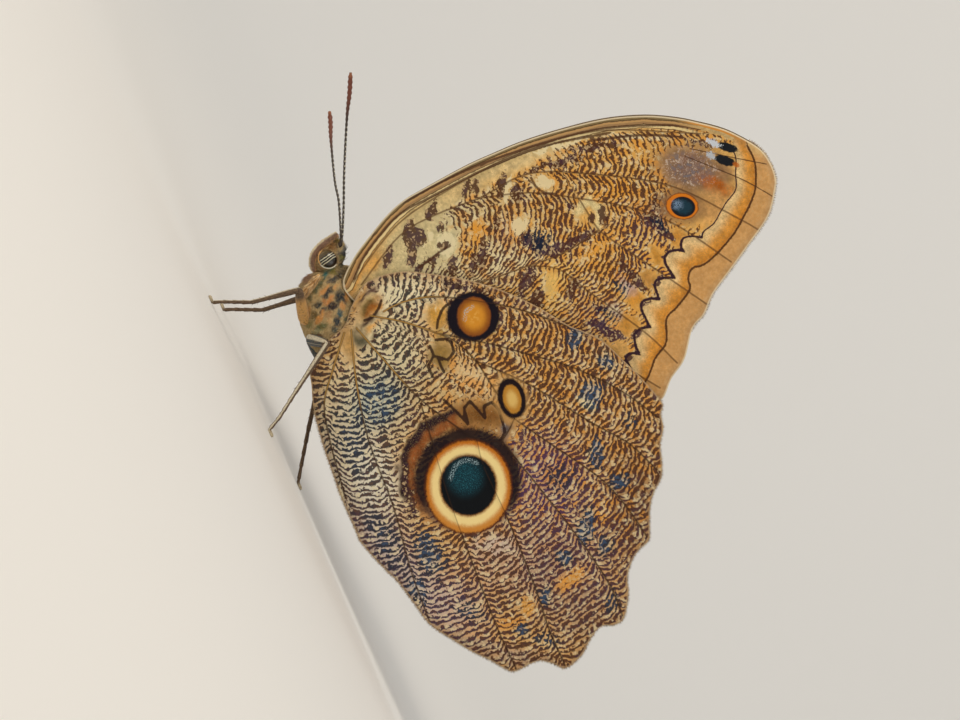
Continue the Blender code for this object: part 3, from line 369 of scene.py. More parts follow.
hindwing = {
    "outline": [
        (364, 286), (374.6, 279.5), (386, 275), (403, 272), (420.5, 273), (459, 278.5),
        (497, 288.7), (535.7, 306), (567.6, 325), (592, 335), (606, 344), (622, 359.5),
        (640, 377), (661, 402), (660, 414), (662.5, 428), (659.6, 444), (661.4, 465),
        (660, 479), (653, 492.5), (650, 504), (649, 520), (648.7, 539), (640.7, 547.5),
        (632.7, 558), (627, 576), (628, 594.6), (623.5, 617.6), (614, 624.5), (604, 625),
        (597, 629), (589, 640.5), (581, 655), (566, 667.5), (553, 663), (541, 660),
        (531, 663), (514, 671), (503, 667), (489, 659), (472, 651), (455, 640.5),
        (430.7, 624.5), (415.8, 605), (398.5, 582), (381, 564.7), (362, 543), (356, 530),
        (342, 498), (334.4, 476.5), (326.8, 455), (321, 436), (314, 408), (312.2, 386),
        (310.9, 369), (320, 350), (333, 337), (345, 326), (351.7, 308),
    ],
    "veins": [
        [(362, 301), (370, 290), (380, 296), (381.5, 308), (371, 324), (357, 326)],
        [(384, 312), (403, 302.5), (438, 297), (500, 305), (539.5, 316), (568, 327)],
        [(438, 333.5), (486, 343), (527, 354), (574, 368), (621, 391), (657, 417)],
        [(371, 316), (403, 322), (438, 333.5), (456, 342), (476, 361), (494, 389), (514, 418.5)],
        [(476, 361), (530, 385), (591, 422.5), (628, 443), (656, 469)],
        [(514, 418.5), (510, 428), (501.7, 441)],
        [(514, 418.5), (545, 440), (598.6, 477), (625, 505), (647, 537)],
        [(501.7, 441), (525.5, 470.5), (561.5, 515.5), (588, 551), (612, 589), (622, 615)],
        [(357, 328), (380, 355), (415, 394), (442, 416), (476.7, 439), (501.7, 441)],
        [(476.7, 439), (484, 467), (507, 517), (534, 584), (549, 629), (565, 665)],
        [(420, 400), (431.7, 440), (449.6, 500), (475.5, 570.5), (497, 627), (516, 668)],
        [(352, 330), (357, 382), (369.5, 442), (394, 508), (411, 570), (430, 622)],
        [(345, 333), (333, 372.5), (325, 403.5), (330.6, 441), (346, 498)],
    ],
    "rippleCentre": (345, 285),
    "period": 0.96,
    "gold": (385, 465),
    "lean": (0.0, 0.0),
    "darkLines": [
        [(452, 302), (444, 308), (439, 318), (437, 328)],
        [(365, 321), (372, 318), (379, 309), (382, 301)],
    ],
    "plainVeins": 1,  # the first vein isn't painted
    "zigzags": [
        [(444, 400), (458, 413), (468, 424), (464, 408), (470, 401), (479, 411), (485, 418), (484, 406),
         (492, 402), (499, 410), (502, 420), (505, 432), (500, 440)],
        [(451, 341), (454, 352), (448, 360), (438, 357), (441, 366), (444, 372)],
        [(430, 346), (434, 356), (428, 366), (433, 377)],
        [(436, 340), (446, 339), (452, 343)],
    ],
    "ground": ("#d0a466", [
        (405, 296, 52, 22, -3, 1.0, "#e2d8b4"), (395, 345, 45, 34, 30, 0.9, "#dfd4ae"),
        (372, 400, 46, 52, 60, 0.85, "#d2c9a8"), (348, 470, 70, 36, 75, 0.9, "#cdc3ac"),
        (385, 560, 60, 34, 60, 0.85, "#bcb0ac"), (440, 600, 50, 30, 30, 0.75, "#c4b2aa"),
        (378, 402, 26, 30, 30, 0.42, "#6f9fae"), (432, 385, 30, 22, 20, 0.6, "#cdb684"),
        (500, 340, 60, 26, 18, 0.55, "#cda868"), (560, 380, 60, 36, 30, 0.5, "#cb9a54"),
        (600, 440, 46, 60, 0, 0.45, "#c2925a"), (545, 470, 34, 40, 30, 0.5, "#b58a78"),
        (560, 545, 60, 50, 0, 0.55, "#a08a80"), (500, 560, 44, 36, 0, 0.6, "#c8a48a"),
        (632, 505, 26, 56, 4, 0.75, "#8c6b4c"), (570, 600, 60, 40, 30, 0.5, "#93857c"),
        (378, 478, 26, 44, -20, 0.8, "#dcd8c6"), (470, 376, 34, 17, 24, 0.75, "#e0bd88"),
        (506, 455, 13, 24, -40, 0.8, "#7c5648"), (362, 296, 13, 3.2, -58, 1.0, "#d9a55a"),
        (353, 309, 9, 3, -70, 1.0, "#d9a55a"), (369, 307.6, 16, 9.5, -52, 1.0, "#cf9e58"),
        (372.7, 290.5, 6, 4, -40, 1.0, "#4a2c30"), (364, 298.5, 9, 1.6, -50, 1.0, "#3c2a30"),
        (366.5, 301, 9, 1.3, -48, 1.0, "#e0c990"), (367.5, 307, 11, 5, -52, 1.0, "#5e4e2a"),
        (374, 308, 12, 4.4, -50, 1.0, "#94561f"), (378.5, 307, 9, 1.8, -58, 1.0, "#cf9040"),
        (369, 322.5, 12, 2.4, -42, 1.0, "#3a2626"), (372.5, 326.5, 12, 2.2, -42, 1.0, "#d9a55c"),
        (375, 338, 4, 7, 20, 0.9, "#4c3c22"), (361, 340, 6, 10, -15, 0.95, "#4a4a3a"),
        (350, 345, 6, 16, -10, 0.95, "#bd9254"), (437, 315, 9, 15, 10, 1.0, "#cf9a44"),
        (441, 334, 9, 7, 0, 0.9, "#b08c48"), (441, 356, 13, 17, -5, 1.0, "#93743c"),
        (480, 415, 34, 15, 8, 1.0, "#7d5022"), (455, 428, 22, 8, 15, 0.95, "#8a5424"),
        (506, 430, 6, 9, 20, 0.95, "#4e4c58"), (494, 545, 20, 10, 0, 0.8, "#cabbae"),
        (572, 578, 19, 10, -38, 0.95, "#d69438"), (527, 606, 8, 12, 0, 0.85, "#d6983e"),
        (510, 622, 16, 6, -10, 0.85, "#cc8c3c"), (500, 652, 70, 12, 12, 0.6, "#aa9a8c"),
        (588, 404, 10, 7, 20, 0.9, "#e0c690"), (600, 352, 16, 8, 40, 0.6, "#cdbf9c"),
        (603, 512, 8, 14, 20, 0.9, "#d8983c"), (545, 298, 50, 5, 26, 0.8, "#cdb27c"),
        (620, 385, 30, 10, 40, 0.7, "#cbb083"),
    ]),
    "ink": ("#452a22", [
        (400, 300, 62, 34, 0, 1.0, "#20212a"), (385, 360, 46, 36, 30, 1.0, "#23262c"),
        (350, 430, 70, 50, 70, 1.0, "#222b34"), (380, 560, 70, 50, 60, 0.95, "#2a2a3e"),
        (440, 600, 60, 40, 30, 0.8, "#31294a"), (540, 480, 60, 44, 40, 0.9, "#432a5c"),
        (580, 560, 60, 60, 0, 0.6, "#3a2448"), (470, 350, 30, 16, 0, 0.5, "#3a2c1e"),
    ]),
    "cover": (0.54, [
        (400, 298, 60, 26, 0, 0.9, 0.48), (350, 430, 80, 50, 70, 0.8, 0.49),
        (440, 600, 50, 30, 30, 0.6, 0.48), (370, 307, 15, 17, 25, 1.0, 0.0),
        (362, 334, 12, 12, -10, 1.0, 0.0), (349, 345, 8, 18, -10, 1.0, 0.0),
        (437, 315, 11, 17, 10, 1.0, 0.0), (441, 352, 12, 16, -5, 1.0, 0.0),
        (480, 414, 32, 14, 8, 1.0, 0.0), (455, 430, 22, 9, 15, 1.0, 0.0),
        (506, 430, 8, 11, 20, 1.0, 0.0), (504, 452, 11, 20, -40, 0.8, 0.2),
        (572, 578, 14, 7, -38, 0.8, 0.24), (492, 545, 16, 8, 0, 0.8, 0.36),
        (527, 606, 8, 12, 0, 0.8, 0.3), (510, 622, 15, 5, -10, 0.7, 0.34),
        (448, 395, 20, 9, 35, 0.6, 0.26), (470, 377, 28, 12, 24, 0.8, 0.3),
    ]),
    "darkSpots": [
        (428, 300, 16, 5, -8, 0.5), (455, 286, 20, 5, 12, 0.7), (484, 292, 14, 5, 16, 0.6),
        (412, 505, 8, 26, -12, 0.6), (430, 450, 8, 16, 30, 0.5), (404, 468, 5, 20, 8, 0.55),
    ],
    "paleSpots": [
        (588, 406, 9, 5, 30, 0.75), (578, 398, 5, 5, 0, 0.6), (616, 371, 7, 5, 30, 0.6),
        (520, 602, 4, 8, 0, 0.5), (605, 352, 8, 4, 40, 0.5), (433, 308, 8, 8, 0, 0.25),
        (475, 375, 22, 6, 35, 0.35), (402, 352, 8, 8, 0, 0.3),
    ],
    "blueSpots": [
        (574, 339, 8, 12, 10, 0.95), (591, 395, 12, 15, -10, 0.95), (606, 362, 10, 7, 40, 0.75),
        (596, 453, 8, 15, 10, 0.95), (619, 481, 12, 8, -30, 0.9), (587, 525, 9, 18, 10, 0.95),
        (563, 558, 9, 9, 0, 0.85), (604, 546, 8, 10, 20, 0.75), (545, 597, 8, 9, 0, 0.75),
        (521, 630, 8, 7, 0, 0.7), (508, 495, 5, 12, 15, 0.85), (430, 553, 14, 24, -18, 0.85),
        (418, 590, 10, 18, -20, 0.65), (380, 402, 26, 28, 30, 0.55), (352, 440, 16, 40, -12, 0.42),
        (386, 540, 14, 40, -30, 0.42), (470, 610, 18, 10, 20, 0.5), (545, 640, 18, 8, 10, 0.5),
        (612, 600, 7, 14, 0, 0.5), (560, 480, 26, 20, 30, 0.3), (630, 420, 8, 12, 0, 0.45),
        (505, 428, 6, 9, 20, 0.4),
    ],
    "eyes": {
        "first": [(468.3, 485.3, 26.3, 28.2, 0), (468.4, 486.4, 41.4, 45, 0), (467.5, 480, 51, 50, 0)],
        "second": [(474, 316.8, 16, 18.6, 0), (473, 316.8, 25.5, 23.8, 0), (465.5, 476.5, 22, 23.5, 0)],
        "third": [(512, 399, 8.6, 14, -12), (511.6, 398.3, 13, 19.4, -14), (511, 398, 17, 25, -16)],
    },
    "glints": [[(450.5, 479), (455.5, 466), (467, 460), (477, 463)],
               [(464.5, 320), (465.8, 312), (472.5, 306.5)]],
    "crescent": [(452, 421), (444, 427), (429, 436), (415, 457), (412, 476), (417, 498), (427, 517),
                 (437, 535)],
    "crescentShade": [(450, 416), (430, 423), (412, 446), (404, 470), (406, 494)],
    "nearBase": (352, 318),
}


def washes(spots, start, strokes, sharp=3):  # a colour or a level, with soft oval strokes over it
    level = np.tile(linear(start) if isinstance(start, str) else [start], (len(spots), 1))
    for u, v, long, short, angle, strength, value in strokes:
        weight = strength * np.exp(-ovalRadius(spots, (u, v, long, short, angle)) ** sharp)[:, None]
        level = level * (1 - weight) + np.array(linear(value) if isinstance(value, str) else value) * weight
    return level


def ovalRadius(spots, oval):  # 1 on the oval's edge
    u, v, long, short, angle = oval
    cos, sin = math.cos(math.radians(angle)), math.sin(math.radians(angle))
    du, dv = spots[:, 0] - u, spots[:, 1] - v
    return np.hypot((du * cos + dv * sin) / long, (-du * sin + dv * cos) / short)


def spotLevel(spots, strokes):
    return washes(spots, 0.0, [(*stroke, 1.0) for stroke in strokes])[:, 0]


def nearest(spots, lines, step=5.0):  # distance in mm to the nearest of several chart lines
    found = [nearLine(spots, curveThrough(line, step))[0] for line in lines]
    return np.min(found, axis=0) * chartUnit if found else np.full(len(spots), 9.0)


def straightRow(line, step):  # points along straight stretches, for lines with corners
    rows = [a + (b - a) * np.linspace(0, 1, max(2, int(np.linalg.norm(b - a) / step)))[:-1, None]
            for a, b in zip(np.array(line[:-1], float), np.array(line[1:], float))]
    return np.vstack(rows + [line[-1]])


def darkRows(spec, step):  # the dark lines, smooth ones and ones with corners
    smoothRows = [curveThrough(line, step) for line in spec["darkLines"]]
    return smoothRows + [straightRow(line, step) for line in spec["zigzags"]]


def rowOf(line, step, closed=False):  # a smooth curve in mm through chart places, a point about every step
    return fromChart(curveThrough(line, step / chartUnit, closed))


# One flat sheet of a wing: its points in mm, its triangles, and the fields that its scales are coloured by.
def sheetOf(spec):
    steps = wing["steps"]
    outline = rowOf(spec["outline"], steps["outline"], closed=True)
    edge = np.vstack((outline, outline[:1]))
    rows = []  # places where the sheet needs points: veins and painted lines
    for line in spec["veins"]:
        vein = rowOf(line, steps["veins"])
        along = np.gradient(vein, axis=0)
        along /= np.linalg.norm(along, axis=1)[:, None]
        normal = np.column_stack((-along[:, 1], along[:, 0]))
        rows += [vein + normal * shift for shift in wing["veinRows"]]
    drawn = spec["glints"] + spec.get("innerLine", []) + [spec[k] for k in ("outerLine",) if k in spec]
    rows += [rowOf(line, steps["lines"]) for line in drawn]
    rows += [fromChart(row) for row in darkRows(spec, 1.6)]
    lows, highs = outline.min(axis=0), outline.max(axis=0)
    step = wing["grid"]
    grid = []
    for k, z in enumerate(np.arange(lows[1], highs[1], step * wing["gridRows"])):
        xs = np.arange(lows[0] + (k % 2) * step / 2, highs[0], step)
        grid.append(np.column_stack((xs, np.full(len(xs), z))))
    kept = list(outline)
    for group, clear in zip((np.vstack(rows), np.vstack(grid)), wing["apart"]):
        group = group[inside(group, outline)]
        group = group[nearLine(group, edge)[0] > wing["marginClear"]]
        tree = kdtree.KDTree(len(kept) + len(group))
        for i, p in enumerate(kept):
            tree.insert((p[0], p[1], 0.0), i)
        tree.balance()
        fresh = [p for p in group if tree.find((p[0], p[1], 0.0))[2] > clear]
        if clear == wing["apart"][0]:  # rows that cross leave points too near each other
            cells = {}
            for p in fresh:
                cells.setdefault((round(p[0] / wing["cell"]), round(p[1] / wing["cell"])), p)
            fresh = list(cells.values())
        kept += fresh
    edges = [(i, (i + 1) % len(outline)) for i in range(len(outline))]
    found = delaunay_2d_cdt([Vector(p) for p in kept], edges, [], 1, 1e-5)
    flat = np.array([tuple(p) for p in found[0]])
    triangles = np.array([tuple(f) for f in found[2]])
    a, b, c = (flat[triangles[:, k]] for k in range(3))
    area = (b - a)[:, 0] * (c - a)[:, 1] - (b - a)[:, 1] * (c - a)[:, 0]
    triangles = np.where((area > 0)[:, None], triangles, triangles[:, ::-1])
    veinStep, edgeStep = wing["fieldSteps"]
    coarse = [rowOf(vein, veinStep) for vein in spec["veins"]]
    fields = fieldsOf(spec, flat, coarse, rowOf(spec["outline"], edgeStep, closed=True))
    return {"flat": flat, "triangles": triangles, "outline": outline, "fields": fields}


def towards(colours, code, weight):  # colours moved to one colour by a weight at each point
    weight = np.reshape(weight, (-1, 1))
    return colours * (1 - weight) + np.array(linear(code)) * weight


# What the finishes read at each point of a sheet: distances, ripples, cover, patches and colours.
def fieldsOf(spec, flat, veins, edge):
    spots = toChart(flat)
    bent, seed = spots, 3
    for size, much in wing["wander"]:
        bent = bent + np.column_stack((wander(spots, size, seed), wander(spots, size, seed + 1))) * much
        seed += 2
    margin = nearLine(flat, np.vstack((edge, edge[:1])))[0]
    alongVeins = [nearLine(flat, vein) for vein in veins]
    veinGap = np.min([found[0] for found in alongVeins[spec["plainVeins"]:]], axis=0)
    rise, cells = np.zeros(len(flat)), np.zeros(len(flat))
    for number, (away, share, side) in enumerate(alongVeins):
        width = wing["veinHalfWidth"] * (1 - 0.3 * share)
        height = wing["veinHeight"] * (1 - 0.45 * share) * (1 - smooth(share, 0.93, 1.0))
        rise = np.maximum(rise, height * np.clip(1 - (away / width) ** 2, 0, 1) ** 1.5)
        cells += (side > 0) * (number * 0.37 + 0.21)  # each space between veins has its own run of ripples
    # Ripples run round a centre, wider apart near it, and bend where they cross a vein
    off = spots - spec["rippleCentre"]
    turn = np.arctan2(off[:, 1], off[:, 0])
    reach = (np.hypot(off[:, 0], off[:, 1]) + turn * (spec["lean"][0] + turn * spec["lean"][1])) * chartUnit
    (lost, rootWithin), (bend, veinWithin) = wing["rootRipples"], wing["veinRipples"]
    phase = (reach - lost * np.tanh(reach / rootWithin)) / spec["period"]
    phase = phase + bend * np.exp(-((veinGap / veinWithin) ** 2))
    phase = phase + cells % 1.0 * 0.8
    cover, ground = washes(bent, *spec["cover"])[:, 0], washes(bent, *spec["ground"])
    lines = [nearLine(spots, row)[0] for row in darkRows(spec, 3.0)]
    bands = np.full((len(flat), 3), -9.0)
    fields, strip = {}, nearest(spots, spec["glints"])
    if "outerLine" in spec:  # the forewing's scalloped outer border and its streaked front edge
        beyondWing = [(640, 430), (250, 430), (250, 90), (740, 90)]
        arcs = [curveThrough(arc, 1.5) for arc in spec["innerLine"]]
        outer, inner = (  # mm beyond each line
            nearLine(spots, row)[0] * chartUnit
            * np.where(inside(spots, np.vstack((row, beyondWing))), -1, 1)
            for row in (curveThrough(spec["outerLine"], 2.0), np.vstack(arcs)))
        share = np.clip(inner / np.maximum(inner - outer, 0.05), 0, 1)
        between = smooth(inner, -0.12, 0.12) * smooth(-outer, -0.12, 0.12)
        beyond = smooth(outer, -0.12, 0.12)
        scallop = np.tile(linear(spec["scallops"][0]), (len(flat), 1))
        for code, (start, full) in zip(spec["scallops"][1:], ((0.1, 0.65), (0.7, 1.0))):
            scallop = towards(scallop, code, smooth(share, start, full))
        ground = ground * (1 - between[:, None]) + scallop * between[:, None]
        ground = towards(ground, spec["border"][0], beyond)
        ground = towards(ground, spec["border"][1], beyond * smooth(margin, 1.4, 0.3))
        frontEdge = np.array(spec["outline"][:17], float)
        strip = nearLine(spots, frontEdge)[0] * chartUnit
        streaks = np.tile(linear(spec["strip"][0]), (len(flat), 1))
        streaks = towards(streaks, spec["strip"][1], smooth(spots[:, 0], 410, 350))
        onStrip = smooth(strip, 3.0, 2.1) * smooth(spots[:, 0], 720, 560)
        inner = inner * (1 + 1.3 * smooth(spots[:, 1], 246, 222))  # the inner line is finest by the apex
        onStrip = np.maximum(onStrip, smooth(strip, 1.3, 0.9)) * (1 - between)
        ground = ground * (1 - onStrip[:, None]) + streaks * onStrip[:, None]
        cover = cover * (1 - np.maximum.reduce([between, beyond, onStrip]))
        bands = np.column_stack((outer, inner, beyond))
    faded = 1 - 0.9 * smooth(spots[:, 1], 496, 532)  # the crescents beside the big eye end below it
    for key, code, width in (("crescentShade", "#2c1a22", 1.0), ("crescent", "#8f5228", 0.85),
                             ("hook", "#e0cb94", 0.72)):
        if key in spec:
            near = smooth(nearest(bent, [spec[key]]), width * 1.35, width * 0.55) * faded
            ground, cover = towards(ground, code, near), cover * (1 - near)
    edgeShade = smooth(margin, 2.2, 0.3) * 0.4 * (bands[:, 2] <= 0)
    fine = 1 + 1.2 * smooth(spots[:, 0], 672, 686)  # dark lines are finest by the forewing's tip
    golden = smooth(spots[:, 0], *spec["gold"]) * (1 - 0.6 * smooth(spots[:, 1], 500, 560))
    base = smooth(np.linalg.norm(spots - spec.get("nearBase", (0, 0)), axis=1), 115, 60)
    for key, ovals in spec["eyes"].items():
        fields[key] = np.column_stack([ovalRadius(spots, oval) for oval in ovals])
    patches = [spotLevel(bent, spec[key]) for key in ("darkSpots", "paleSpots", "blueSpots")]
    return fields | {
        "ground": towards(ground, "#86684c", edgeShade), "ink": washes(bent, *spec["ink"]),
        "ripple": np.column_stack((phase, cover, golden)),
        "spot": np.column_stack((flat, cells % 1.0 * 7.0)),
        "patches": np.column_stack(patches),
        "edges": np.column_stack((veinGap, margin, np.min(lines, axis=0) * chartUnit * fine)),
        "bands": bands,
        "rays": np.column_stack((strip, rise, base)),
    }


def scaleNoises(tree):  # unevenness of four sizes, from patches some mm across to single scales
    place = addNode(tree, "Attribute", {"attribute_name": "spot"}).outputs["Vector"]
    noises = {"broad": 0.2, "middle": 0.62, "fine": 1.7, "grit": 5.0}  # patches in a mm
    for key, scale in noises.items():
        made = addNode(tree, "TexNoise", {}, {"Vector": place, "Scale": scale, "Detail": 2.0})
        noises[key] = made.outputs[0]
    return noises


def ragged(tree, jag, edges):  # distances made uneven, each by its own amount
    return {key: sumOf(tree, [(value, 1.0), (jag, much), (1.0, -0.5 * much)]) for key, value, much in edges}


def scaleLayer(tree, noise):  # broken ripples and ragged patches of scales, on both wings
    phase, cover, gold = axesOf(tree, "ripple")
    dark, pale, blue = axesOf(tree, "patches")
    turned = sumOf(tree, [(phase, math.tau), (noise["broad"], 10.0), (noise["middle"], 12.0),
                          (noise["fine"], 6.5)])
    wave = addNode(tree, "Math", {"operation": "SINE"}, {0: turned})
    level = sumOf(tree, [(wave, 1.0), (noise["middle"], 2.8), (noise["fine"], 4.4), (noise["grit"], 2.0),
                         (cover, 5.6), (blue, 0.5)])
    wear = [(noise["middle"], 0.5), (noise["fine"], 0.6), (noise["grit"], 0.5), (wave, 0.1)]
    worn = {key: sumOf(tree, [(value, 1.0), *wear]) for key, value in
            (("dark", dark), ("pale", pale), ("blue", blue))}
    mixed = sumOf(tree, [(noise["middle"], 0.4), (noise["fine"], 0.4), (noise["grit"], 0.2)])
    ground = addNode(tree, "Attribute", {"attribute_name": "ground"}).outputs["Color"]
    ink = addNode(tree, "Attribute", {"attribute_name": "ink"}).outputs["Color"]
    tone = addNode(tree, "MapRange", {}, {"Value": mixed, "From Min": 0.38, "From Max": 0.62,
                                          "To Min": 0.74, "To Max": 1.24})
    lit = addNode(tree, "VectorMath", {"operation": "SCALE"}, {"Vector": ground, "Scale": tone})
    inks = layCoats(tree, ink, [
        ("#5f3a24", 0.6, (noise["fine"], 0.5, 0.6)),
        ("#38264e", 0.28, (noise["middle"], 0.5, 0.42)),
        ("#141f33", 0.95, (worn["blue"], 1.0, 1.2)),
        ("#24486c", 0.68, (worn["blue"], 1.25, 1.5), (noise["fine"], 0.51, 0.57))])
    painted = layCoats(tree, lit, [
        ("#d58f32", 0.62, (noise["middle"], 0.5, 0.6), (cover, 0.2, 0.4), (gold, 0.0, 1.0)),
        ("#ecdcb0", 0.55, (mixed, 0.48, 0.4), (cover, 0.2, 0.4)),
        ("#7d6c46", 0.42, (noise["grit"], 0.53, 0.6), (cover, 0.24, 0.06)),
        ("#aeb0ac", 0.5, (worn["blue"], 1.15, 1.4)),
        ("#e0d2a8", 0.8, (worn["pale"], 1.02, 1.3)),
        (inks, 0.95, (level, 6.95, 7.95), (cover, 0.03, 0.2)),
        (inks, 0.93, (worn["dark"], 1.1, 1.28)),
        ("#c0a67c", 0.8, (worn["dark"], 1.1, 1.3), (noise["fine"], 0.57, 0.61))])
    return painted, wave


dullChitin = {"Roughness": 0.75, "IOR": 1.56, "Specular IOR Level": 0.1}  # the horn of scales and hairs


# Dull scales with a faint satin. They overlap like tiles 0.1 mm apart, drawn at 0.2 mm so that they show.
def wingFinish(tree, painted, noise, wave):
    place = addNode(tree, "Attribute", {"attribute_name": "spot"}).outputs["Vector"]
    tiles = addNode(tree, "TexVoronoi", {"feature": "F1"},
                    {"Vector": place, "Scale": wing["tiles"], "Randomness": 0.8})
    finishOf(tree, painted, dullChitin,
             [(tiles.outputs[0], 0.5), (wave, 0.12), (noise["grit"], 0.5), (noise["fine"], 0.3)])


def finishOf(tree, colour, surface, bumps=(), strength=0.55, depth=0.06):  # bumps of that depth in mm
    links = {"Base Color": colour} | surface
    if bumps:
        links["Normal"] = addNode(tree, "Bump", {}, {
            "Height": sumOf(tree, bumps), "Strength": strength, "Distance": depth * 0.001})
    shader = addNode(tree, "BsdfPrincipled", {}, links)
    addNode(tree, "OutputMaterial", {}, {"Surface": shader})


# Tan with brown ripples, streaked in front, with a scalloped border and a small eyespot at the tip.
def forewingScales():
    finish, tree = newFinish("forewing scales")
    noise = scaleNoises(tree)
    colour, wave = scaleLayer(tree, noise)
    veinGap, margin, darkGap = axesOf(tree, "edges")
    outer, inner, beyond = axesOf(tree, "bands")
    pupil, ring, sheen = axesOf(tree, "first")
    spotOne, spotTwo, cloud = axesOf(tree, "second")
    whiteOne, whiteTwo, rust = axesOf(tree, "third")
    strip, _, _ = axesOf(tree, "rays")
    _, high, _ = axesOf(tree, "spot")
    front = sumOf(tree, [(strip, 1.0), (noise["fine"], 0.25), (1.0, -0.12)])
    jag = sumOf(tree, [(noise["grit"], 0.5), (noise["fine"], 0.5)])
    worn = ragged(tree, jag, (
        ("outer", outer, 0.4), ("inner", inner, 0.5), ("one", spotOne, 0.9), ("two", spotTwo, 0.9),
        ("whiteOne", whiteOne, 3.6), ("whiteTwo", whiteTwo, 4.4), ("rust", rust, 1.0),
        ("pupil", pupil, 0.7), ("sheen", sheen, 1.6), ("dark", darkGap, 0.35), ("ring", ring, 0.2)))
    wingFinish(tree, layCoats(tree, colour, [
        ("#c6955a", 0.5, (beyond, 0.3, 0.9)), ("#d8ba8a", 0.18, (beyond, 0.0, 1.0), (jag, 0.42, 0.62)),
        *((code, 0.9, (front, near - 0.07, near + 0.07), (front, far + 0.07, far - 0.07),
           (high, 87.0, 82.0)) for near, far, code in forewing["frontStreaks"]),
        ("#c8842e", 0.9, (front, 0.1, 0.25), (front, 0.6, 0.45), (high, 82.0, 86.0), (high, 91.5, 89.5)),
        ("#c4b4a8", 0.7, (cloud, 1.05, 0.7), (jag, 0.53, 0.6)),
        ("#6f7688", 0.45, (cloud, 0.9, 0.5), (noise["fine"], 0.5, 0.42)),
        ("#7c5c4c", 0.6, (cloud, 1.0, 0.5), (noise["middle"], 0.46, 0.6)),
        ("#7a5a40", 0.6, (ring, 1.9, 1.1)),
        ("#33202a", 1.0, (worn["inner"], -0.42, -0.22), (worn["inner"], 0.22, 0.07)),
        ("#4a2c18", 0.95, (worn["outer"], -0.27, -0.12), (worn["outer"], 0.23, 0.1)),
        ("#4a2e20", 0.85, (worn["dark"], 0.3, 0.12)),
        ("#543620", 0.7, (veinGap, 0.22, 0.07)),
        ("#171a20", 1.0, (worn["one"], 1.2, 0.95)), ("#171a20", 1.0, (worn["two"], 1.2, 0.95)),
        ("#b4601e", 0.8, (worn["rust"], 1.3, 0.8)),
        ("#c3cad4", 1.0, (worn["whiteOne"], 1.1, 0.8)), ("#b6bec9", 0.9, (worn["whiteTwo"], 1.1, 0.8)),
        ("#7a3c12", 0.8, (worn["ring"], 1.12, 1.04)), ("#cf761c", 1.0, (worn["ring"], 1.04, 0.98)),
        ("#14181f", 1.0, (pupil, 1.08, 0.98)), ("#1c3c4c", 0.8, (worn["pupil"], 0.95, 0.5)),
        ("#7e98b8", 0.75, (worn["sheen"], 1.3, 0.3), (noise["grit"], 0.4, 0.52)),
        ("#eadcbc", 0.75, (margin, 0.32, 0.14)),
    ]), noise, wave)
    return finish


